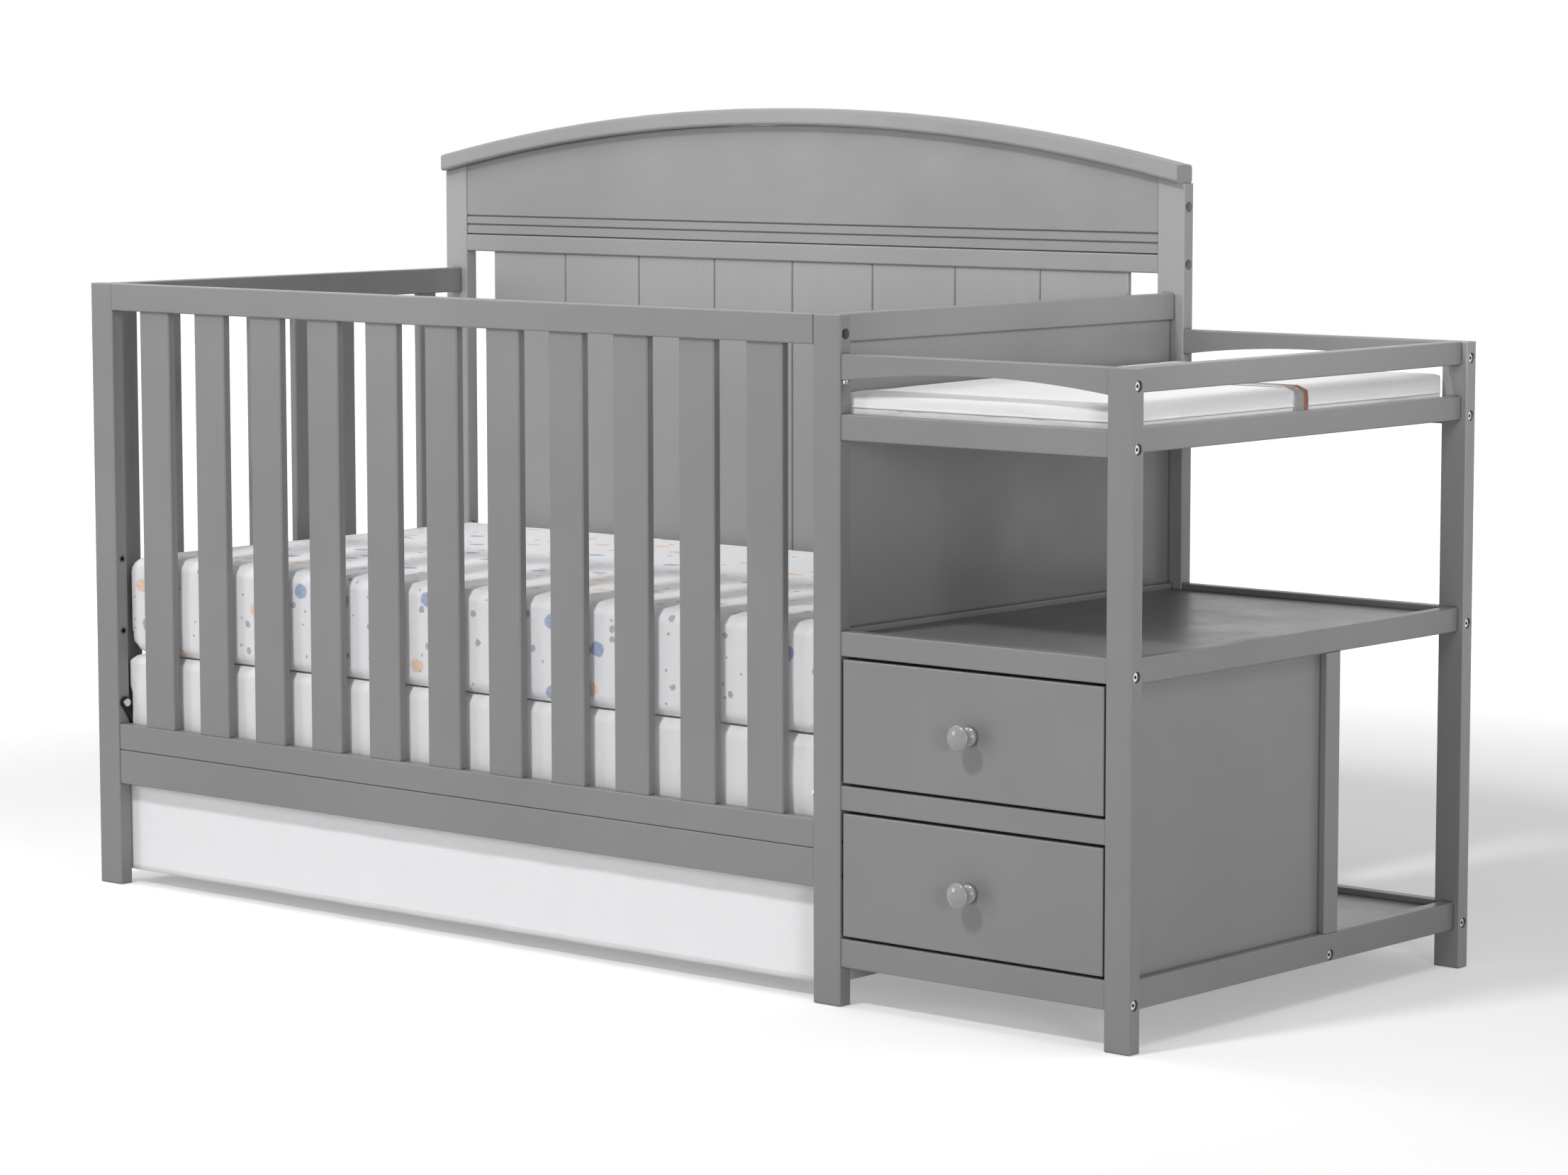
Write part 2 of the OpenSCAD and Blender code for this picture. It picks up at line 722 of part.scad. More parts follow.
module angle_bar_x(y, dir) {
    block(support_x, dir > 0 ? [y, y + angle_t] : [y - angle_t, y],
          [support_z - angle_leg, support_z]);
    block(support_x, dir > 0 ? [y, y + angle_leg] : [y - angle_leg, y],
          [support_z - angle_t, support_z]);
}

module angle_bar_y(x, dir) {
    block(dir > 0 ? [x, x + angle_t] : [x - angle_t, x], support_y,
          [support_z - angle_leg, support_z]);
    block(dir > 0 ? [x, x + angle_leg] : [x - angle_leg, x], support_y,
          [support_z - angle_t, support_z]);
}

module mattress_support() {
    pitch = (support_x[1] - support_x[0]) / (cross_straps_n + 1);
    color(black_steel) model_frame() union() {
        angle_bar_x(support_y[0], 1);
        angle_bar_x(support_y[1], -1);
        angle_bar_y(support_x[0], 1);
        angle_bar_y(support_x[1], -1);
        for (i = [1 : cross_straps_n]) {
            x0 = support_x[0] + i * pitch - angle_leg / 2;
            block([x0, x0 + angle_leg], support_y, [support_z - angle_t, support_z]);
        }
    }
}

// A bracket plate lies on a post's inner face: its arm hangs from a bolt, slants back
// past the rails and ends in a foot that is fixed to the support's end angle
module bracket_plate(x, mirror_y) {
    foot_z = [support_z - angle_leg + 2, support_z - 4];
    arm_y = [front_rail_y[1] + 2, front_rail_y[1] + 2 + bracket_w];
    elbow_z = slat_z[0] + 1;
    translate([x, mirror_y ? frame_d : 0, 0]) mirror([0, mirror_y ? 1 : 0, 0])
        rotate([90, 0, 90]) linear_extrude(bracket_t) difference() {
            union() {
                translate([insert_y, bracket_bolt_z]) circle(d = bracket_w);
                polygon([[insert_y - bracket_w / 2, bracket_bolt_z],
                         [arm_y[0], elbow_z], [arm_y[0], foot_z[0]],
                         [foot_end_y, foot_z[0]], [foot_end_y, foot_z[1]],
                         [arm_y[1], foot_z[1]], [arm_y[1], elbow_z],
                         [insert_y + bracket_w / 2, bracket_bolt_z]]);
            }
            translate([insert_y, bracket_bolt_z]) circle(d = bolt_d + hole_clear);
        }
}

module bracket_bolt(x, y, dir) {
    rod_x([x - dir * bolt_head_h, y, bracket_bolt_z], bolt_head_d, dir * bolt_head_h);
    rod_x([x - dir * eps, y, bracket_bolt_z], bolt_d - hole_clear,
          dir * (bracket_t + insert_l + eps));
}

module support_brackets() {
    color(black_steel) model_frame() for (back = [false, true]) {
        bracket_plate(inner_x[0], back);
        bracket_plate(inner_x[1] - bracket_t, back);
    }
}

module bracket_bolts() {
    color(steel) model_frame() for (y = [insert_y, frame_d - insert_y]) {
        bracket_bolt(inner_x[0] + bracket_t, y, -1);
        bracket_bolt(inner_x[1] - bracket_t, y, 1);
    }
}

module threaded_insert(x, y, z, dir) {
    difference() {
        union() {
            rod_x([x, y, z], insert_flange_d, dir * insert_flange_t);
            rod_x([x, y, z], insert_d, dir * insert_l);
        }
        rod_x([x - dir * eps, y, z], bolt_d - hole_clear / 2, dir * (insert_l + 1));
    }
}

module support_inserts() {
    color(steel) model_frame()
        for (z = support_holes, y = [insert_y, frame_d - insert_y]) {
            threaded_insert(inner_x[0], y, z, -1);
            threaded_insert(inner_x[1], y, z, 1);
        }
}

// ---------------------------------------------------------------- soft pieces

// One ring of points round a rounded rectangle; s scales it towards its middle
ring_steps = 4;
side_steps = 5;
function corner_points(hx, hy, r, sx, sy, a0) =
    [for (i = [0 : ring_steps]) let (a = a0 + 90 * i / ring_steps)
        [sx * (hx - r) + r * cos(a), sy * (hy - r) + r * sin(a)]];
function between(p, q) =
    [for (i = [1 : side_steps]) p + (q - p) * i / (side_steps + 1)];
function ring(hx, hy, r) = let (
    a = corner_points(hx, hy, r, 1, 1, 0), b = corner_points(hx, hy, r, -1, 1, 90),
    c = corner_points(hx, hy, r, -1, -1, 180), d = corner_points(hx, hy, r, 1, -1, 270),
    n = ring_steps)
    concat(a, between(a[n], b[0]), b, between(b[n], c[0]), c, between(c[n], d[0]),
           d, between(d[n], a[0]));
function lift(points, z) = [for (p = points) [p[0], p[1], z]];

// A stuffed block: flat underside, rounded edges, sides that belly by bulge at half
// height and a top that rises by crown towards the middle
module cushion(l, w, h, r, crown, bulge, corner) {
    edge_steps = 4;
    top_steps = 5;
    hx = l / 2 - bulge;
    hy = w / 2 - bulge;
    low = [for (i = [0 : edge_steps]) let (a = 90 * i / edge_steps)
        [r * (1 - sin(a)), r * (1 - cos(a))]];
    levels = concat(
        [for (p = low) [p[0], p[1]]],
        [[-bulge, h / 2]],
        [for (i = [edge_steps : -1 : 0]) [low[i][0], h - low[i][1]]]);
    sides = [for (p = levels)
        lift(ring(hx - p[0], hy - p[0], max(corner - p[0], corner / 3)), p[1])];
    tops = [for (i = [top_steps - 1 : -1 : 1]) let (s = i / top_steps)
        lift(s * ring(hx - r, hy - r, max(corner - r, corner / 3)),
             h + crown * (1 - s * s))];
    rings = concat(sides, tops);
    n = len(rings[0]);
    m = len(rings);
    points = concat([for (one = rings) each one], [[0, 0, 0], [0, 0, h + crown]]);
    walls = [for (k = [0 : m - 2], i = [0 : n - 1]) let (j = (i + 1) % n)
        each [[k * n + i, (k + 1) * n + i, k * n + j],
              [k * n + j, (k + 1) * n + i, (k + 1) * n + j]]];
    floor_fan = [for (i = [0 : n - 1]) [m * n, i, (i + 1) % n]];
    roof_fan = [for (i = [0 : n - 1])
        [m * n + 1, (m - 1) * n + (i + 1) % n, (m - 1) * n + i]];
    polyhedron(points, concat(walls, floor_fan, roof_fan));
}

module foundation_mattress() {
    color(sheet_white) model_frame()
        translate([(inner_x[0] + inner_x[1]) / 2, frame_d / 2, foundation_z])
        cushion(block_l, mattress_w, foundation_h, foundation_r, 0, 2, block_corner);
}

module mattress() {
    color(sheet_white) model_frame()
        translate([(bed_x[0] + bed_x[1]) / 2, frame_d / 2, mattress_z])
        cushion(mattress_l, mattress_w, mattress_h, mattress_r, mattress_crown, 4,
                mattress_corner);
}

// The sheet under the foundation, cut out at its corners round the bracket plates
module skirt_deck() {
    color(sheet_white) model_frame() difference() {
        block(bed_x, bed_y, [support_z, support_z + deck_t]);
        for (x = [support_x[0] - crib_post_w, support_x[1]],
             y = [foot_end_y + 1 - frame_d, frame_d - foot_end_y - 1])
            translate([x, y, support_z - 1]) cube([crib_post_w, frame_d, deck_t + 2]);
    }
}

// A hanging cloth of length l, drawn in plan as a shallow wave of n folds
module drop_plan(l, n) {
    steps = 8 * n;
    near = [for (i = [0 : steps]) [l * i / steps, skirt_wave * sin(360 * i * n / steps)]];
    far = [for (i = [steps : -1 : 0]) [near[i][0], near[i][1] + cloth_t]];
    polygon(concat(near, far));
}

// The skirt's front and side drops; the front one is notched round the bracket plates
module skirt_drops() {
    h = support_z - skirt_hem_z;
    notch_z = [support_z - angle_leg, support_z + 1];
    color(sheet_white) model_frame() {
        difference() {
            translate([bed_x[0], bed_y[0] + skirt_wave, skirt_hem_z]) linear_extrude(h)
                drop_plan(mattress_l, skirt_waves_n);
            block([bed_x[0] - 1, support_x[0] + 1], [0, foot_end_y], notch_z);
            block([support_x[1] - 1, bed_x[1] + 1], [0, foot_end_y], notch_z);
        }
        for (x = [bed_x[0], bed_x[1] - cloth_t])
            block([x, x + cloth_t], [foot_end_y + 1, frame_d - foot_end_y - 1],
                  [skirt_hem_z, support_z]);
    }
}

// ---------------------------------------------------------------- changing table

// A rail whose underside is arched; its top edges are eased
module arched_rail(y) {
    z = [changer_h - arch_rail_h, changer_h];
    mid_x = (changer_x[0] + changer_x[1]) / 2;
    difference() {
        bar_x(changer_x, y, z);
        translate([mid_x, y[0] - 1, z[0] + arch_rise - side_arch_r]) rotate([-90, 0, 0])
            cylinder(r = side_arch_r, h = rail_t + 2, $fn = arch_fn);
    }
}

module changer_arched_rails() {
    color(paint) model_frame() {
        difference() {
            arched_rail(front_rail_y);
            nut_cuts(changer_x, bolt_y[0], changer_bolts[0]);
        }
        difference() {
            arched_rail(back_rail_y);
            nut_cuts(changer_x, bolt_y[1], changer_bolts[0]);
        }
    }
}

// A front and a back rail of the changing table, bolted at the given height
module long_rails(z, bolt_z) {
    difference() {
        bar_x(changer_x, front_rail_y, z);
        nut_cuts(changer_x, bolt_y[0], bolt_z);
    }
    difference() {
        bar_x(changer_x, back_rail_y, z);
        nut_cuts(changer_x, bolt_y[1], bolt_z);
    }
}

module changer_lower_rails() {
    color(paint) model_frame() long_rails([lower_rail_z, lower_top], changer_bolts[1]);
}

module shelf_long_rails() {
    color(paint) model_frame() long_rails([shelf_z, shelf_top], changer_bolts[2]);
}

module base_long_rails() {
    color(paint) model_frame() long_rails([base_z, base_top], changer_bolts[3]);
}

module changer_side_rails() {
    color(paint) model_frame() {
        bar_y(side_rail_x, inner_y, [changer_h - side_rail_h, changer_h]);
        bar_y(side_rail_x, inner_y, [lower_side_z, lower_side_z + side_rail_h]);
        bar_y(side_rail_x, inner_y, [shelf_z, shelf_top]);
        difference() {
            bar_y(side_rail_x, inner_y, [base_z, base_top]);
            rod_x([side_rail_x[1] + eps, stile_mid_y, cross_bolt_z], counterbore_d,
                  -cross_counterbore - eps);
            rod_x([side_rail_x[1], stile_mid_y, cross_bolt_z], bolt_d + hole_clear,
                  -end_rail_t - eps);
        }
    }
}

module base_cross_rail() {
    color(paint) model_frame() difference() {
        block([right_end_x[1], side_rail_x[0]], cross_bar_y, [base_z, base_board_z]);
        rod_x([side_rail_x[0] + eps, stile_mid_y, cross_bolt_z], bolt_d + hole_clear,
              end_rail_t - cross_counterbore - bolt_l - hole_clear);
        nut_cut(side_rail_x[0], stile_mid_y, cross_bolt_z, -1);
    }
}

module changing_board() {
    color(paint) model_frame()
        block([end_panel_x[1], side_rail_x[0]], inner_y,
              [changing_board_z, changing_board_top]);
}

module shelf_board() {
    color(paint) model_frame()
        block([right_end_x[1], side_rail_x[0]], inner_y,
              [shelf_board_z, shelf_board_z + board_t]);
}

module base_board() {
    color(paint) model_frame()
        block([right_end_x[1], side_rail_x[0]], inner_y,
              [base_board_z, base_board_z + board_t]);
}

module cleat_pair(left_x, z) {
    block([left_x, left_x + cleat], inner_y, z);
    block([side_rail_x[0] - cleat, side_rail_x[0]], inner_y, z);
}

module board_cleats() {
    color(paint) model_frame() {
        cleat_pair(end_panel_x[1], [lower_side_z, changing_board_z]);
        cleat_pair(right_end_x[1], [shelf_board_z - cleat, shelf_board_z]);
    }
}

// ---------------------------------------------------------------- pad and strap

module changing_pad() {
    color(pad_grey) model_frame() translate([pad_mid[0], pad_mid[1], pad_z])
        cushion(pad_w, pad_l, pad_h, pad_r, pad_crown, 2, pad_corner);
}

// The strap follows the pad's crown, turns over its edges and ends on the board
strap_turns = 6;
strap_air = 0.6;
function strap_line(out) = let (
    half = pad_w / 2 - 2,
    top = [for (i = [-strap_turns : strap_turns]) let (s = i / strap_turns)
        [s * (half - pad_r), pad_h + pad_crown * (1 - s * s) + strap_air + out]],
    turn = [for (i = [1 : strap_turns]) let (a = 90 - 90 * i / strap_turns)
        [half - pad_r + (pad_r + 2 + strap_air + out) * cos(a),
         pad_h - pad_r + (pad_r + strap_air + out) * sin(a)]],
    side = [[half + 2 + strap_air + out, 0]],
    right = concat(turn, side))
    concat([for (i = [len(right) - 1 : -1 : 0]) [-right[i][0], right[i][1]]], top, right);

module pad_strap() {
    inner = strap_line(0);
    outer = strap_line(strap_t);
    n = len(outer);
    color(stripe_grey) model_frame()
        translate([pad_mid[0], pad_mid[1] + strap_offset + strap_w / 2, changing_board_top])
        rotate([90, 0, 0]) linear_extrude(strap_w)
        polygon(concat(inner, [for (i = [n - 1 : -1 : 0]) outer[i]]));
}

// ---------------------------------------------------------------- cabinet

module drawer_divider_rail() {
    color(paint) model_frame()
        bar_x(changer_x, front_rail_y, [divider_z, divider_z + divider_h]);
}

module cabinet_side_panel() {
    color(paint) model_frame()
        block([side_rail_x[0], side_rail_x[0] + side_panel_t], [post_t, stile_y[0]],
              [base_top, shelf_z]);
}

module cabinet_rear_stile() {
    color(paint) model_frame() bar_z(side_rail_x, stile_y, [base_top, shelf_z]);
}

module cabinet_back_panel() {
    color(paint) model_frame() union() {
        block([end_panel_x[1], side_rail_x[0]], back_panel_y, [base_top, shelf_z]);
        block([right_end_x[1], side_rail_x[0]], back_panel_y,
              [base_board_z + board_t, shelf_board_z - cleat]);
    }
}

runner_y = [post_t, box_y[1]];
function runner_z(i) = drawer_zs[i] + drawer_box_lift + runner_lift;

module runner_spacers() {
    color(pale_wood) model_frame() for (i = [0, 1]) {
        z = [runner_z(i) - 4, runner_z(i) + runner_h + 4];
        block([end_panel_x[1], changer_x[0]], [runner_y[0], back_panel_y[0]], z);
        block([changer_x[1], side_rail_x[0]], [runner_y[0], back_panel_y[0]], z);
    }
}

// A steel channel, open towards the drawer; dir points to the drawer
module runner(x, z, dir) {
    web = dir > 0 ? [x, x + runner_sheet] : [x - runner_sheet, x];
    lip = dir > 0 ? [x, x + runner_d] : [x - runner_d, x];
    block(web, runner_y, [z, z + runner_h]);
    block(lip, runner_y, [z, z + runner_sheet]);
    block(lip, runner_y, [z + runner_h - runner_sheet, z + runner_h]);
}

module drawer_runners() {
    color(steel) model_frame() for (i = [0, 1]) {
        union() runner(changer_x[0], runner_z(i), 1);
        union() runner(changer_x[1], runner_z(i), -1);
    }
}

// ---------------------------------------------------------------- drawers

module drawer_front(i) {
    z = [drawer_zs[i], drawer_zs[i] + drawer_front_h];
    eased_block(drawer_x, [drawer_inset, drawer_inset + drawer_front_t], z);
}

function box_z(i) = [drawer_zs[i] + drawer_box_lift,
                     drawer_zs[i] + drawer_box_lift + drawer_box_h];

module drawer_sides(i) {
    block([box_x[0], box_inner_x[0]], box_y, box_z(i));
    block([box_inner_x[1], box_x[1]], box_y, box_z(i));
}

module drawer_back(i) {
    block(box_inner_x, [box_inner_y, box_y[1]], box_z(i));
}

module drawer_bottom(i) {
    z0 = box_z(i)[0] + drawer_bottom_lift;
    block(box_inner_x, [box_y[0], box_inner_y], [z0, z0 + drawer_bottom_t]);
}

module drawer_slides(i) {
    z = [runner_z(i) + runner_sheet + runner_clear,
         runner_z(i) + runner_h - runner_sheet - runner_clear];
    gap = runner_sheet + runner_clear;
    block([changer_x[0] + gap, box_x[0]], [runner_y[0] + 2, box_y[1]], z);
    block([box_x[1], changer_x[1] - gap], [runner_y[0] + 2, box_y[1]], z);
}

// A turned mushroom knob: a collar, a waisted neck and a low dome over a rounded rim
module knob(i) {
    edge_r = knob_rim_t / 2;
    rim_r = knob_d / 2 - edge_r;
    rim_mid = knob_l - knob_dome - edge_r;
    under = rim_mid - edge_r;
    waist_r = (under - knob_collar_t) / 2;
    // The dome's arc runs smoothly into the rim's
    rise = knob_l - rim_mid;
    dome_r = (rim_r * rim_r + rise * rise - edge_r * edge_r) / (2 * (rise - edge_r));
    meet_r = dome_r * rim_r / (dome_r - edge_r);
    translate([drawer_mid_x, drawer_inset, drawer_zs[i] + drawer_front_h / 2])
        rotate([90, 0, 0]) rotate_extrude() {
            difference() {
                polygon([[0, 0], [knob_collar_d / 2, 0], [knob_collar_d / 2, knob_collar_t],
                         [rim_r, under], [rim_r, rim_mid], [0, rim_mid]]);
                translate([knob_neck_d / 2 + waist_r, knob_collar_t + waist_r])
                    circle(waist_r);
            }
            translate([rim_r, rim_mid]) circle(edge_r);
            intersection() {
                translate([0, knob_l - dome_r]) circle(dome_r);
                translate([0, rim_mid - eps]) square([meet_r, rise + 2 * eps]);
            }
        }
}

module upper_drawer_front() { color(paint) model_frame() drawer_front(1); }
module lower_drawer_front() { color(paint) model_frame() drawer_front(0); }
module upper_drawer_sides() { color(pale_wood) model_frame() drawer_sides(1); }
module lower_drawer_sides() { color(pale_wood) model_frame() drawer_sides(0); }
module upper_drawer_back() { color(pale_wood) model_frame() drawer_back(1); }
module lower_drawer_back() { color(pale_wood) model_frame() drawer_back(0); }
module upper_drawer_bottom() { color(pale_wood) model_frame() drawer_bottom(1); }
module lower_drawer_bottom() { color(pale_wood) model_frame() drawer_bottom(0); }
module upper_drawer_slides() { color(steel) model_frame() drawer_slides(1); }
module lower_drawer_slides() { color(steel) model_frame() drawer_slides(0); }
module upper_drawer_knob() { color(paint) model_frame() knob(1); }
module lower_drawer_knob() { color(paint) model_frame() knob(0); }

// ---------------------------------------------------------------- fasteners

module frame_bolts() {
    color(steel) model_frame() {
        for (z = crib_front_bolts) {
            frame_bolt(0, bolt_y[0], z, 1, crib_post_w);
            frame_bolt(crib_l, bolt_y[0], z, -1, crib_post_w);
        }
        for (z = crib_back_bolts) {
            frame_bolt(0, bolt_y[1], z, 1, crib_post_w);
            frame_bolt(crib_l, bolt_y[1], z, -1, crib_post_w);
        }
        for (z = changer_bolts, y = bolt_y) {
            frame_bolt(inner_x[1], y, z, 1, crib_post_w);
            frame_bolt(total_l, y, z, -1, changer_post_w);
        }
        frame_bolt(side_rail_x[1], stile_mid_y, cross_bolt_z, -1,
                   cross_counterbore + bolt_wall);
    }
}

module barrel_nuts() {
    color(steel) model_frame() {
        for (z = crib_front_bolts) {
            barrel_nut(inner_x[0], bolt_y[0], z, 1);
            barrel_nut(inner_x[1], bolt_y[0], z, -1);
        }
        for (z = crib_back_bolts) {
            barrel_nut(inner_x[0], bolt_y[1], z, 1);
            barrel_nut(inner_x[1], bolt_y[1], z, -1);
        }
        for (z = changer_bolts, y = bolt_y) {
            barrel_nut(changer_x[0], y, z, 1);
            barrel_nut(changer_x[1], y, z, -1);
        }
        barrel_nut(side_rail_x[0], stile_mid_y, cross_bolt_z, -1);
    }
}

front_left_post();
front_right_post();
back_left_post();
back_right_post();
front_top_rail();
front_slats();
front_bottom_rail();
front_stretcher();
left_end_rails();
left_end_stile();
left_end_slats();
right_end_rails();
right_end_panels();
headboard_crown();
headboard_upper_panel();
headboard_cross_rail();
headboard_plank_panel();
headboard_bottom_rail();
mattress_support();
support_brackets();
bracket_bolts();
support_inserts();
foundation_mattress();
mattress();
skirt_deck();
skirt_drops();
changer_front_post();
changer_back_post();
changer_arched_rails();
changer_lower_rails();
changer_side_rails();
changing_board();
changing_pad();
pad_strap();
shelf_long_rails();
shelf_board();
drawer_divider_rail();
base_long_rails();
base_cross_rail();
base_board();
board_cleats();
cabinet_side_panel();
cabinet_rear_stile();
cabinet_back_panel();
runner_spacers();
drawer_runners();
upper_drawer_front();
upper_drawer_sides();
upper_drawer_back();
upper_drawer_bottom();
upper_drawer_slides();
upper_drawer_knob();
lower_drawer_front();
lower_drawer_sides();
lower_drawer_back();
lower_drawer_bottom();
lower_drawer_slides();
lower_drawer_knob();
frame_bolts();
barrel_nuts();
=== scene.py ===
"""Dresses the crib and its changing table: painted wood, bare wood, steel and bedding.

The CAD frame carries every wooden and metal piece. This script gives those pieces
their finishes, makes the soft goods (two mattresses, the skirt, the changing pad and
its strap) as pieces of their own, and sets up the studio.
"""

import logging
import math
from dataclasses import dataclass, field
from enum import Enum

import bmesh
import bpy
from mathutils import Matrix, Vector, noise
from mathutils.bvhtree import BVHTree

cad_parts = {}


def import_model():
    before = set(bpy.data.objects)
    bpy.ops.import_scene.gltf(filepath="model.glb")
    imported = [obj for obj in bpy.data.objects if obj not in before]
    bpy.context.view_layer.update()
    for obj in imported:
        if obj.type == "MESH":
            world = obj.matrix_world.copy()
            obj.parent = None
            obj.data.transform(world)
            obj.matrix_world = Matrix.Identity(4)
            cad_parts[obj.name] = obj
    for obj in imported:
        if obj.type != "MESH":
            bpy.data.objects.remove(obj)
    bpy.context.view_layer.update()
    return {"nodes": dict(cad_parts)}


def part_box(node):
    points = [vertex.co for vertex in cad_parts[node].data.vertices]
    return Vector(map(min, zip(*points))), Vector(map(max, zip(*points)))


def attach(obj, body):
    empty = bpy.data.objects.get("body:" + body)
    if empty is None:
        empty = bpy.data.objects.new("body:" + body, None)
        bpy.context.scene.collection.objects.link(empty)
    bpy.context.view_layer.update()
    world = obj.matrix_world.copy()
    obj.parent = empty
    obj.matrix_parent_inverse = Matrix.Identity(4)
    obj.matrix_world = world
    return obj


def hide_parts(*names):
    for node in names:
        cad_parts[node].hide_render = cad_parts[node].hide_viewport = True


log = logging.getLogger("crib")

Socket = bpy.types.NodeSocket
Material = bpy.types.Material
Object = bpy.types.Object
Mesh = bpy.types.Mesh
BMesh = bmesh.types.BMesh
Pair = tuple[float, float]
Triple = tuple[float, float, float]
Colour = tuple[float, float, float, float]
Names = tuple[str, ...]

WHITE = (1.0, 1.0, 1.0, 1.0)
# painted shade: colour is darkened where another face is nearer than this
GAP_SHADE_REACH = 0.004  # how near another face darkens a gap, in metres
BANDS_TO_SCALE = 0.3183  # a wave texture's scale for about one band in a metre
MERGE = 1e-6  # points nearer than this are one


def tone(red: float, green: float, blue: float) -> Colour:
    """Turns a colour as it looks on a screen, 0 to 1, into the linear colour of a shader."""
    def straight(c: float) -> float:
        return c / 12.92 if c <= 0.04045 else ((c + 0.055) / 1.055) ** 2.4
    return (straight(red), straight(green), straight(blue), 1.0)


def scaled(colour: Colour, factor: float) -> Colour:
    """A linear colour made darker or lighter."""
    return (*(factor * c for c in colour[:3]), 1.0)


# ------------------ materials


class Graph:
    """A node tree that is built socket by socket."""

    def __init__(self, tree: bpy.types.NodeTree) -> None:
        """Takes the tree that is built on."""
        self.tree = tree

    def put(self, kind: str, *wires: tuple[str, object], **settings: object) -> bpy.types.Node:
        """Adds a node, sets its properties and fills its inputs.

        Args:
            kind: the node's type name.
            wires: pairs of an input's name or number and a value or socket.
            settings: properties of the node itself.

        Returns:
            The new node.
        """
        node = self.tree.nodes.new(kind)
        for key, value in settings.items():
            setattr(node, key, value)
        for key, value in wires:
            self.feed(node.inputs[key], value)
        return node

    def feed(self, into: Socket, value: object) -> None:
        """Links a socket to an input, or sets the input's own value."""
        if isinstance(value, Socket):
            self.tree.links.new(value, into)
        else:
            into.default_value = value

    def sum(self, how: str, one: object, two: object = 0.0) -> Socket:
        """One step of arithmetic on two values."""
        return self.put("ShaderNodeMath", (0, one), (1, two), operation=how).outputs[0]

    def seen_share(self) -> Socket:
        """1 for rays from the camera, off gloss or through glass, otherwise 0."""
        rays = self.put("ShaderNodeLightPath").outputs
        total = rays["Is Camera Ray"]
        for other in ("Is Glossy Ray", "Is Transmission Ray"):
            total = self.sum("MAXIMUM", total, rays[other])
        return total


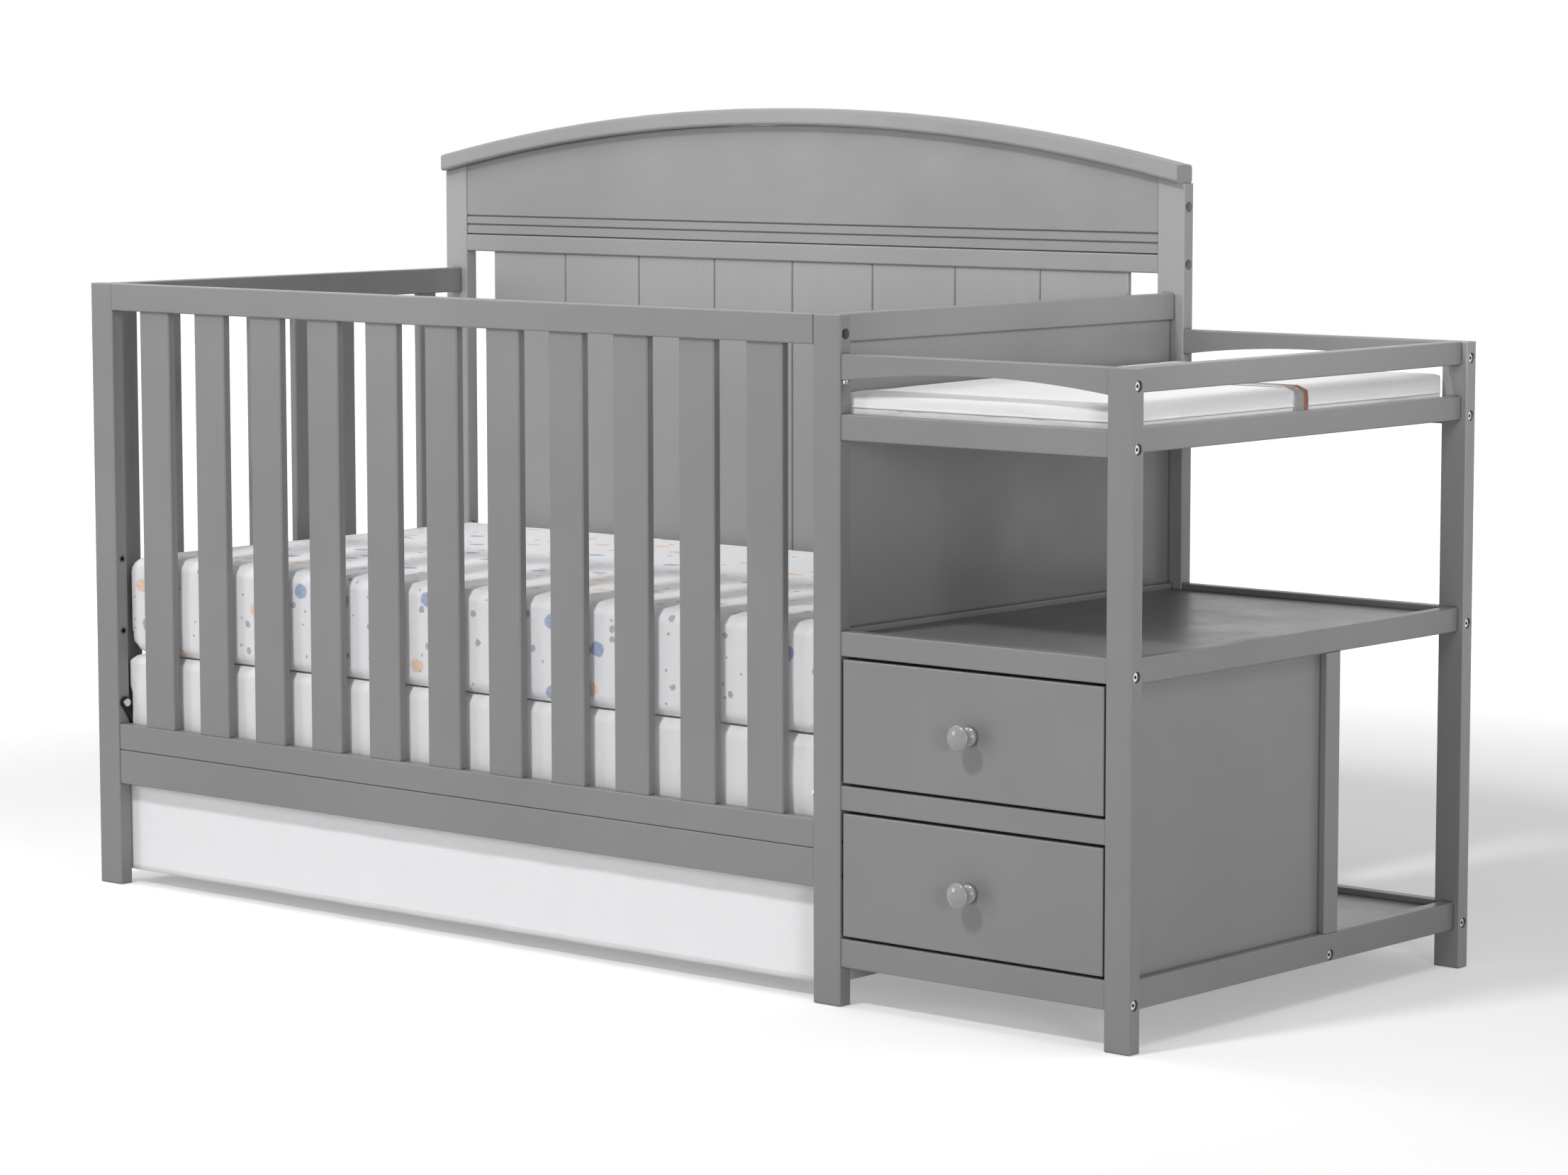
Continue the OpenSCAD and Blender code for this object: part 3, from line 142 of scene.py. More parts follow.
class Recipe(Graph):
    """One procedural material on object coordinates."""

    def __init__(self, name: str) -> None:
        """Starts an empty material with its Principled shader."""
        self.material = bpy.data.materials.new(name)
        self.material.use_nodes = True
        super().__init__(self.material.node_tree)
        self.shader = self.tree.nodes["Principled BSDF"]
        self.place = self.tree.nodes.new("ShaderNodeTexCoord")

    def where(self, scale: Triple = (1, 1, 1), by_uv: bool = False) -> Socket:
        """Coordinates of the piece in metres, or of its own UV map, stretched."""
        source = self.place.outputs["UV" if by_uv else "Object"]
        return self.put("ShaderNodeMapping", ("Vector", source), ("Scale", scale)).outputs[0]

    def cloud(self, at: Socket, scale: float, detail: float = 2.0, rough: float = 0.5,
              warp: float = 0.0) -> Socket:
        """A noise field from 0 to 1.

        Args:
            at: the coordinates.
            scale: cells in a metre.
            detail: octaves.
            rough: share of the finer octaves.
            warp: distortion.

        Returns:
            The value socket.
        """
        return self.put("ShaderNodeTexNoise", ("Vector", at), ("Scale", scale),
                        ("Detail", detail), ("Roughness", rough),
                        ("Distortion", warp)).outputs["Fac"]

    def bands(self, at: Socket, scale: float, way: str,
              *wires: tuple[str, object]) -> Socket:
        """Straight bands along one axis, 0 to 1."""
        return self.put("ShaderNodeTexWave", ("Vector", at), ("Scale", scale), *wires,
                        wave_type="BANDS", bands_direction=way).outputs["Fac"]

    def vector(self, how: str, one: object, two: object) -> Socket:
        """One step of arithmetic on two vectors."""
        return self.put("ShaderNodeVectorMath", (0, one), (1, two), operation=how).outputs[0]

    def span(self, value: Socket, low: float, high: float, to_low: float = 0.0,
             to_high: float = 1.0, soft: bool = False) -> Socket:
        """Maps a range of a value onto another and clamps it.

        Args:
            value: the value socket.
            low, high: the range that is read.
            to_low, to_high: what its ends become.
            soft: whether the change eases in and out.

        Returns:
            The mapped value.
        """
        return self.put("ShaderNodeMapRange", ("Value", value), ("From Min", low),
                        ("From Max", high), ("To Min", to_low), ("To Max", to_high),
                        interpolation_type="SMOOTHSTEP" if soft else "LINEAR").outputs[0]

    def blend(self, share: object, first: object, second: object) -> Socket:
        """A mix of two colours by a share from 0 to 1."""
        return self.put("ShaderNodeMix", ("Factor", share), (6, first), (7, second),
                        data_type="RGBA").outputs[2]

    def paint_gap_shade(self, body: Socket, gap_shade_colour: Colour, low: float, high: float) -> Socket:
        """Paints shade into a colour in tight gaps, corners and recesses, where another face is
        near.

        Args:
            body: the colour in the open.
            gap_shade_colour: the painted shade deep in a gap.
            low, high: the openness up to which it is dark, and from which it isn't.

        Returns:
            The shaded colour.
        """
        nook = self.put("ShaderNodeAmbientOcclusion", ("Distance", GAP_SHADE_REACH)).outputs["AO"]
        return self.blend(self.span(nook, low, high), gap_shade_colour, body)

    def relief(self, height: Socket, depth: float, strength: float = 1.0,
               over: Socket | None = None) -> Socket:
        """Bumps the surface.

        Args:
            height: the height field, 0 to 1.
            depth: what a full height stands for, in metres.
            strength: share of the effect.
            over: the normal that is bumped further.

        Returns:
            The normal socket.
        """
        wires = [("Height", height), ("Distance", depth), ("Strength", strength)]
        if over is not None:
            wires.append(("Normal", over))
        return self.put("ShaderNodeBump", *wires).outputs["Normal"]

    def finish(self, colour: Socket, roughness: object, normal: Socket | None = None,
               **fixed: object) -> Material:
        """Feeds the shader and returns the material.

        Args:
            colour: the base colour.
            roughness: the roughness, a value or socket.
            normal: the bumped normal.
            fixed: other inputs of the shader, with _ for a blank, as plain values.

        Returns:
            The finished material.
        """
        self.feed(self.shader.inputs["Base Color"], colour)
        self.feed(self.shader.inputs["Roughness"], roughness)
        if normal is not None:
            self.feed(self.shader.inputs["Normal"], normal)
        for key, value in fixed.items():
            self.shader.inputs[key.replace("_", " ")].default_value = value
        return self.material


class Grain(Enum):
    """The direction in which a piece's wood runs, or none for a smooth board."""

    ALONG_X = (1, 14, 14)
    ALONG_Y = (14, 1, 14)
    ALONG_Z = (14, 14, 1)
    NONE = None


@dataclass(frozen=True)
class PaintFinish:
    """Satin grey furniture paint over wood whose grain shows faintly through it."""

    name: str
    grain: Grain
    colour: Triple = (0.50, 0.50, 0.50)
    roughness: float = 0.40
    coat: float = 0.12
    coat_rough: float = 0.28

    def make(self) -> Material:
        """Builds and returns the paint."""
        r = Recipe(self.name)
        at = r.where()
        base = tone(*self.colour)
        deep, pale = scaled(base, 0.93), scaled(base, 1.06)
        body = r.blend(r.span(r.cloud(at, 2.2, 3, 0.55), 0.35, 0.65), deep, pale)
        skin = r.relief(r.cloud(at, 260.0, 2, 0.5), 0.00025, 0.22)
        if self.grain is not Grain.NONE:
            streaks = r.cloud(r.where(scale=self.grain.value), 9.0, 6, 0.62, 0.4)
            body = r.blend(r.span(streaks, 0.45, 0.75, 0.0, 0.35), body, deep)
            skin = r.relief(streaks, 0.0006, 0.20, over=skin)
        fleck = r.cloud(at, 420.0, 2, 0.6)
        body = r.blend(r.span(fleck, 0.55, 0.8, 0.0, 0.18), body, pale)
        # painted shade: the paint darkens to 0.42 of its colour in gaps, corners and recesses
        # where another face is near
        body = r.paint_gap_shade(body, scaled(base, 0.42), 0.45, 0.92)
        rough = r.span(r.cloud(at, 14.0, 3, 0.6), 0.3, 0.7, self.roughness - 0.05,
                       self.roughness + 0.07)
        return r.finish(body, rough, skin, Specular_IOR_Level=0.45,
                        Coat_Weight=self.coat, Coat_Roughness=self.coat_rough)


@dataclass(frozen=True)
class BareWoodFinish:
    """Planed pale hardwood or plywood without paint."""

    name: str = "bare_wood"
    grain: Grain = Grain.ALONG_Y
    colour: Triple = (0.80, 0.69, 0.52)

    def make(self) -> Material:
        """Builds and returns the wood."""
        r = Recipe(self.name)
        along = r.where(scale=tuple(0.6 * s for s in self.grain.value))
        rings = r.bands(along, 4.5, "DIAGONAL", ("Distortion", 5.5), ("Detail", 3.0),
                        ("Detail Scale", 1.4))
        pores = r.cloud(r.where(scale=tuple(6 * s for s in self.grain.value)), 16.0, 4, 0.7)
        base = tone(*self.colour)
        dark = tone(*(0.86 * c for c in self.colour))
        pale = tone(*(min(1.0, 1.07 * c) for c in self.colour))
        body = r.blend(r.span(rings, 0.2, 0.9), pale, base)
        body = r.blend(r.span(pores, 0.52, 0.72, 0.0, 0.7), body, dark)
        return r.finish(body, r.span(pores, 0.3, 0.7, 0.55, 0.7),
                        r.relief(pores, 0.0003, 0.35), Specular_IOR_Level=0.35)


@dataclass(frozen=True)
class MetalFinish:
    """Plated or blackened steel, brushed and slightly uneven."""

    name: str
    colour: Triple = (0.80, 0.80, 0.81)
    roughness: float = 0.27
    metallic: float = 1.0

    def make(self) -> Material:
        """Builds and returns the metal."""
        r = Recipe(self.name)
        brush = r.cloud(r.where(scale=(40, 600, 600)), 3.0, 3, 0.6)
        stain = r.cloud(r.where(), 60.0, 3, 0.6)
        base = tone(*self.colour)
        body = r.blend(r.span(stain, 0.45, 0.75, 0.0, 0.6), base, scaled(base, 0.72))
        # painted shade: the steel darkens to 0.12 of its colour in gaps, corners and recesses
        # where another face is near
        body = r.paint_gap_shade(body, scaled(base, 0.12), 0.35, 0.8)
        rough = r.span(brush, 0.3, 0.7, self.roughness - 0.06, self.roughness + 0.12)
        return r.finish(body, rough, r.relief(brush, 0.0001, 0.25),
                        Metallic=self.metallic, Specular_IOR_Level=0.5)


class Motif(Enum):
    """What is printed on a cloth."""

    PLAIN = "plain"
    DABS = "dabs"


@dataclass(frozen=True)
class ClothFinish:
    """Woven cotton: threads, crinkle, a soft sheen and, on the sheet, a dabbed print."""

    name: str
    colour: Triple = (0.90, 0.90, 0.905)
    motif: Motif = Motif.PLAIN
    thread: float = 0.0009
    crinkle: float = 0.0011
    sheen: float = 0.25

    def dabs(self, r: Recipe, body: Socket) -> Socket:
        """Prints soft round dabs in two colours and small grey seeds on the cloth.

        Args:
            r: the material that is built.
            body: the cloth's colour.

        Returns:
            The printed colour.
        """
        flat = r.where(by_uv=True)
        shaky = r.put("ShaderNodeTexNoise", ("Vector", flat), ("Scale", 90.0),
                      ("Detail", 3.0)).outputs["Color"]
        at = r.vector("ADD", flat, r.vector("MULTIPLY", shaky, (0.007, 0.007, 0.0)))
        brush = r.cloud(r.where(scale=(1, 3, 1), by_uv=True), 110.0, 4, 0.7)

        def spots(cells: float, radius: float, seed: float, least: float,
                  squash: Triple = (1, 1, 1)) -> tuple[Socket, Socket]:
            moved = r.vector("ADD", at, (seed, seed * 1.7, 0.0))
            grid = r.put("ShaderNodeTexVoronoi", ("Vector", r.vector("MULTIPLY", moved, squash)),
                         ("Scale", cells), ("Randomness", 0.8), voronoi_dimensions="2D")
            edge = r.span(grid.outputs["Distance"], radius * 1.1, radius * 0.86)
            lot = r.put("ShaderNodeSeparateColor", (0, grid.outputs["Color"])).outputs[0]
            return r.sum("MULTIPLY", edge, r.sum("GREATER_THAN", lot, least)), lot

        large, lot = spots(12.5, 0.155, 3.13, 0.46, (1.0, 1.25, 1.0))
        seeds = spots(20.0, 0.095, 7.71, 0.52)[0]
        specks = spots(31.0, 0.062, 5.37, 0.64)[0]
        peach, blue = tone(0.92, 0.77, 0.66), tone(0.55, 0.62, 0.78)
        ink = r.blend(r.sum("GREATER_THAN", lot, 0.72), peach, blue)
        worn = r.span(brush, 0.25, 0.7, 1.0, 0.6)
        body = r.blend(r.sum("MULTIPLY", large, worn), body, ink)
        marks = r.sum("MAXIMUM", seeds, specks)
        faded = r.span(brush, 0.3, 0.8, 0.95, 0.5)
        return r.blend(r.sum("MULTIPLY", marks, faded), body, tone(0.64, 0.64, 0.66))

    def make(self) -> Material:
        """Builds and returns the cloth."""
        r = Recipe(self.name)
        turns = 1.0 / self.thread / 2.0
        waves = [r.bands(r.where(), turns * BANDS_TO_SCALE, way, ("Distortion", 0.6),
                         ("Detail", 1.0), ("Detail Scale", 30.0)) for way in ("X", "Z", "Y")]
        weave = r.sum("MULTIPLY", r.sum("ADD", waves[0], r.sum("ADD", waves[1], waves[2])),
                      0.333)
        slub = r.cloud(r.where(scale=(1, 1, 5)), 60.0, 4, 0.7)
        slub_across = r.cloud(r.where(scale=(5, 5, 1)), 60.0, 4, 0.7)
        folds = r.cloud(r.where(scale=(1.4, 1.4, 0.6)), 22.0, 4, 0.6, 0.6)
        base = tone(*self.colour)
        shade = scaled(base, 0.93)
        body = r.blend(r.span(slub, 0.35, 0.75, 0.0, 0.35), base, shade)
        body = r.blend(r.span(slub_across, 0.45, 0.8, 0.0, 0.25), body, shade)
        # painted shade: the cloth is darker in the valleys between its threads
        body = r.blend(r.span(weave, 0.2, 0.6, 0.12, 0.0), body, shade)
        if self.motif is Motif.DABS:
            body = self.dabs(r, body)
        fine = r.relief(weave, self.thread * 0.35, 0.35)
        rough = r.relief(r.sum("ADD", slub, slub_across), self.crinkle * 0.5, 0.30, over=fine)
        crumple = r.relief(folds, self.crinkle * 2.2, 0.30, over=rough)
        return r.finish(body, r.span(slub, 0.3, 0.7, 0.82, 0.95), crumple,
                        Specular_IOR_Level=0.2, Sheen_Weight=self.sheen,
                        Sheen_Roughness=0.45)


@dataclass(frozen=True)
class WebbingFinish:
    """Woven strap: grey and white ribs with a rust edge, on the strap's own UV map."""

    name: str = "strap_webbing"

    def make(self) -> Material:
        """Builds and returns the webbing."""
        r = Recipe(self.name)
        across = r.put("ShaderNodeSeparateXYZ", ("Vector", r.where(by_uv=True))).outputs[1]
        ribs = r.bands(r.where(scale=(1, 0, 0), by_uv=True), 110.0, "X")
        rows = r.bands(r.where(scale=(0, 1, 0), by_uv=True), 3.2, "Y")
        check = r.sum("GREATER_THAN", r.sum("ABSOLUTE", r.sum("SUBTRACT", ribs, rows)), 0.42)
        grey, white = tone(0.45, 0.45, 0.46), tone(0.88, 0.87, 0.85)
        rust, cream = tone(0.66, 0.33, 0.22), tone(0.90, 0.86, 0.80)
        body = r.blend(check, grey, white)
        rim = r.span(across, 0.66, 0.70)
        rim_tone = r.blend(r.span(ribs, 0.7, 0.9, 0.0, 0.35), rust, cream)
        body = r.blend(rim, body, rim_tone)
        selvedge = r.sum("GREATER_THAN", r.sum("ABSOLUTE", r.sum("SUBTRACT", across, 0.5)),
                         0.46)
        body = r.blend(selvedge, body, white)
        haze = r.cloud(r.where(), 300.0, 3, 0.6)
        body = r.blend(r.span(haze, 0.4, 0.8, 0.0, 0.2), body, grey)
        return r.finish(body, r.span(haze, 0.3, 0.7, 0.7, 0.85),
                        r.relief(ribs, 0.0004, 0.5), Specular_IOR_Level=0.3,
                        Sheen_Weight=0.15, Sheen_Roughness=0.4)


# ------------------ mesh tools


def linked(name: str, data: bpy.types.ID) -> Object:
    """A new object of the scene that shows the data."""
    piece = bpy.data.objects.new(name, data)
    bpy.context.scene.collection.objects.link(piece)
    return piece


def wear(mesh: Mesh, finish: Material) -> None:
    """Makes a finish the only one of a mesh."""
    mesh.materials.clear()
    mesh.materials.append(finish)


def skin_of(piece: Object) -> BVHTree:
    """A piece's faces, ready for rays."""
    mesh = piece.data
    return BVHTree.FromPolygons([v.co for v in mesh.vertices],
                                [p.vertices for p in mesh.polygons])


def sliced(bm: BMesh, place: Triple, way: Triple) -> list:
    """Cuts a bmesh at a plane, keeps both sides and returns what lies on the cut."""
    return bmesh.ops.bisect_plane(bm, geom=bm.verts[:] + bm.edges[:] + bm.faces[:],
                                  plane_co=place, plane_no=way)["geom_cut"]


def to_object(bm: BMesh, name: str, material: Material,
              smooth: bool = True) -> Object:
    """Makes a scene object of a bmesh, at the origin, and frees the bmesh.

    Args:
        bm: the finished bmesh.
        name: the piece's name.
        material: its finish.
        smooth: whether its faces are shaded smooth.

    Returns:
        The new object.
    """
    mesh = bpy.data.meshes.new(name)
    for face in bm.faces:
        face.smooth = smooth
    bm.to_mesh(mesh)
    bm.free()
    mesh.materials.append(material)
    return linked(name, mesh)


def rounded_box(low: Vector, high: Vector, corner: float, edge: float) -> BMesh:
    """A box with rounded upright corners and rounded upper and lower edges.

    Args:
        low, high: its lowest and highest corners.
        corner: radius of the upright corners.
        edge: radius of the upper and lower edges.

    Returns:
        The bmesh.
    """
    bm = bmesh.new()
    bmesh.ops.create_cube(bm, size=1.0)
    size = high - low
    bmesh.ops.scale(bm, vec=size, verts=bm.verts)
    bmesh.ops.translate(bm, vec=(low + high) / 2, verts=bm.verts)
    upright = [e for e in bm.edges if abs(e.verts[0].co.z - e.verts[1].co.z) > size.z / 2]
    bmesh.ops.bevel(bm, geom=upright, offset=corner, affect="EDGES", segments=8,
                    profile=0.5, material=-1)
    rims = [e for e in bm.edges
            if abs(e.verts[0].co.z - e.verts[1].co.z) < MERGE
            and len([f for f in e.link_faces if abs(f.normal.z) > 0.9]) == 1]
    bmesh.ops.bevel(bm, geom=rims, offset=edge, affect="EDGES", segments=6, profile=0.5,
                    material=-1)
    bmesh.ops.recalc_face_normals(bm, faces=bm.faces)
    return bm


def baked(piece: Object) -> Mesh:
    """The piece's mesh with its modifiers applied, at the current frame."""
    graph = bpy.context.evaluated_depsgraph_get()
    return bpy.data.meshes.new_from_object(piece.evaluated_get(graph), depsgraph=graph)


def swap_mesh(piece: Object, mesh: Mesh) -> None:
    """Gives a piece a new mesh with the old one's material, and drops its modifiers."""
    finish = piece.data.materials[0]
    old = piece.data
    piece.modifiers.clear()
    wear(mesh, finish)
    piece.data = mesh
    bpy.data.meshes.remove(old)


def remeshed(piece: Object, voxel: float) -> None:
    """Covers a closed piece with an even skin of small faces."""
    skin = piece.modifiers.new("skin", "REMESH")
    skin.mode = "VOXEL"
    skin.voxel_size = voxel
    swap_mesh(piece, baked(piece))


@dataclass
class Stuffing:
    """How a stuffed piece is blown up by a cloth simulation."""

    pressure: float
    cap: float
    frames: int = 20
    quality: int = 5
    stiffness: float = 15.0
    bending: float = 0.4

    def fill(self, piece: Object) -> None:
        """Runs the simulation on a remeshed piece and keeps the result as its mesh.

        Args:
            piece: the piece, whose skin is an even mesh.
        """
        scene = bpy.context.scene
        rest = [v.co.copy() for v in piece.data.vertices]
        cloth = piece.modifiers.new("stuffing", "CLOTH")
        cloth.settings.effector_weights.gravity = 0.0
        for key, value in (("quality", self.quality), ("use_pressure", True),
                           ("uniform_pressure_force", self.pressure),
                           ("tension_stiffness", self.stiffness),
                           ("compression_stiffness", self.stiffness),
                           ("bending_stiffness", self.bending)):
            setattr(cloth.settings, key, value)
        cloth.collision_settings.use_collision = False
        cloth.point_cache.frame_start = 1
        cloth.point_cache.frame_end = self.frames
        for step in range(1, self.frames + 1):
            scene.frame_set(step)
        blown = baked(piece)
        for v, start in zip(blown.vertices, rest):
            move = v.co - start
            if move.length > self.cap:
                v.co = start + move * (self.cap / move.length)
        scene.frame_set(1)
        swap_mesh(piece, blown)


def pull(piece: Object, shift) -> None:
    """Moves each vertex of a new piece by a function of its place and normal.

    Args:
        piece: the piece.
        shift: takes the place and the normal and returns the new place.
    """
    mesh = piece.data
    places = [shift(v.co.copy(), v.normal.copy()) for v in mesh.vertices]
    for v, place in zip(mesh.vertices, places):
        v.co = place
    mesh.update()


def held_in(low: Vector, high: Vector):
    """A function that keeps a point inside a box."""
    def clamp(p: Vector) -> Vector:
        return Vector([min(max(p[i], low[i]), high[i]) for i in range(3)])
    return clamp


def tube(name: str, path: list[Vector], radius: float,
         material: Material) -> Object:
    """A closed round cord of cloth, as a mesh.

    Args:
        name: the piece's name.
        path: the points of its middle line.
        radius: its radius.
        material: its finish.

    Returns:
        The new object.
    """
    curve = bpy.data.curves.new(name, "CURVE")
    curve.dimensions = "3D"
    curve.bevel_depth = radius
    curve.bevel_resolution = 2
    line = curve.splines.new("POLY")
    line.points.add(len(path) - 1)
    for point, place in zip(line.points, path):
        point.co = (*place, 1.0)
    line.use_cyclic_u = True
    holder = linked(name + "_line", curve)
    bpy.context.view_layer.update()
    mesh = baked(holder)
    bpy.data.objects.remove(holder)
    bpy.data.curves.remove(curve)
    bm = bmesh.new()
    bm.from_mesh(mesh)
    bpy.data.meshes.remove(mesh)
    bmesh.ops.remove_doubles(bm, verts=bm.verts, dist=MERGE)
    bmesh.ops.recalc_face_normals(bm, faces=bm.faces)
    return to_object(bm, name, material)


# ------------------ wood and metal


def drawers(*parts: str) -> Names:
    """The names of those parts of both drawers."""
    return tuple(f"{level}_drawer_{part}" for level in ("upper", "lower") for part in parts)


@dataclass
class Joinery:
    """Gives every carried-over wooden and metal piece its finish."""

    rails_x: Names = (
        "front_top_rail", "front_bottom_rail", "front_stretcher", "changer_arched_rails",
        "changer_lower_rails", "shelf_long_rails", "base_long_rails",
        "drawer_divider_rail", "headboard_bottom_rail")
    rails_y: Names = ("left_end_rails", "changer_side_rails", "base_cross_rail")
    uprights: Names = (
        "front_left_post", "front_right_post", "front_slats", "left_end_stile",
        "left_end_slats", "changer_front_post", "cabinet_rear_stile")
    boards: Names = (
        "changing_board", "shelf_board", "base_board", "cabinet_side_panel",
        "cabinet_back_panel", "board_cleats", *drawers("front"))
    headboard_x: Names = ("headboard_crown", "headboard_cross_rail")
    headboard_z: Names = ("headboard_plank_panel", "back_left_post", "back_right_post")
    arched_panel: Names = ("headboard_upper_panel",)
    right_end: Names = ("right_end_panels", "right_end_rails", "changer_back_post")
    knobs: Names = drawers("knob")
    bare: Names = ("runner_spacers", *drawers("sides", "back", "bottom"))
    bright: Names = ("frame_bolts", "drawer_runners", "bracket_bolts", *drawers("slides"))
    dull: Names = ("support_inserts", "barrel_nuts")
    black: Names = ("mattress_support", "support_brackets")
    board_rough: float = 0.36
    # painted light: the right end, the headboard's parts, the arched panel and the knobs wear
    # lighter copies of the one grey paint, standing for the more light and sheen that fall on
    # them
    right_end_lit_tone: Triple = (0.555, 0.555, 0.555)
    planks_and_posts_lit_tone: Triple = (0.60, 0.60, 0.60)
    crown_and_rail_lit_tone: Triple = (0.57, 0.57, 0.57)
    arched_panel_lit_tone: Triple = (0.55, 0.55, 0.55)
    knob_lit_tone: Triple = (0.55, 0.55, 0.55)

    def dress(self, nodes: dict[str, Object]) -> None:
        """Puts the finishes on the pieces.

        Args:
            nodes: the CAD pieces by name.
        """
        plans = (
            (self.rails_x, PaintFinish("paint_rails_x", Grain.ALONG_X)),
            (self.rails_y, PaintFinish("paint_rails_y", Grain.ALONG_Y)),
            (self.uprights, PaintFinish("paint_uprights", Grain.ALONG_Z)),
            (self.boards, PaintFinish("paint_boards", Grain.NONE,
                                      roughness=self.board_rough)),
            # painted light: these copies differ from the grey above by lighter tones that stand
            # for light and sheen
            (self.headboard_x, PaintFinish("paint_headboard_lit", Grain.ALONG_X,
                                           self.crown_and_rail_lit_tone)),
            (self.headboard_z, PaintFinish("paint_planks_lit", Grain.ALONG_Z,
                                           self.planks_and_posts_lit_tone)),
            (self.arched_panel, PaintFinish("paint_arched_panel_lit", Grain.ALONG_X,
                                            self.arched_panel_lit_tone)),
            (self.knobs, PaintFinish("paint_knobs_lit", Grain.NONE, self.knob_lit_tone,
                                     roughness=0.28, coat=0.7, coat_rough=0.16)),
            (self.right_end, PaintFinish("paint_right_end_lit", Grain.NONE, self.right_end_lit_tone,
                                         roughness=self.board_rough)),
            (self.bare, BareWoodFinish()),
            (self.bright, MetalFinish("bright_steel", (0.88, 0.88, 0.89))),
            (self.dull, MetalFinish("dull_steel", (0.42, 0.42, 0.43), 0.36)),
            (self.black, MetalFinish("black_steel", (0.11, 0.11, 0.12), 0.42, 0.4)),
        )
        for names, finish in plans:
            material = finish.make()
            for name in names:
                wear(nodes[name].data, material)
            log.info("%s: %d pieces", finish.name, len(names))


@dataclass
class PanHeadScrew:
    """The small screw head on the shared front post, over the pad's front corner."""

    head_d: float = 0.0095
    head_h: float = 0.0022
    place: Triple = (0.4735, -0.3415, 0.778)

    def build(self, finish: Material) -> None:
        """Turns the head's profile and cuts its recess.

        Args:
            finish: the screw's metal.
        """
        bm = bmesh.new()
        r, h = self.head_d / 2, self.head_h
        profile = [(0, h * 0.55), (r * 0.34, h * 0.55), (r * 0.36, h), (r * 0.7, h * 0.93),
                   (r * 0.93, h * 0.62), (r, h * 0.2), (r, -0.0006)]
        points = [bm.verts.new((y, 0, x)) for y, x in profile]
        edges = [bm.edges.new(pair) for pair in zip(points, points[1:])]
        bmesh.ops.spin(bm, geom=points + edges, cent=(0, 0, 0), axis=(0, 0, 1),
                       angle=math.tau, steps=24, use_merge=True)
        bmesh.ops.remove_doubles(bm, verts=bm.verts, dist=MERGE)
        bmesh.ops.edgeloop_fill(bm, edges=[e for e in bm.edges if e.is_boundary])
        bmesh.ops.transform(bm, matrix=Matrix.Translation(self.place)
                            @ Matrix.Rotation(math.radians(90), 4, "Y"), verts=bm.verts)
        bmesh.ops.recalc_face_normals(bm, faces=bm.faces)
        piece = to_object(bm, "post_screw_head", finish)
        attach(piece, "frame")
        log.info("post_screw_head")


# ------------------ bedding


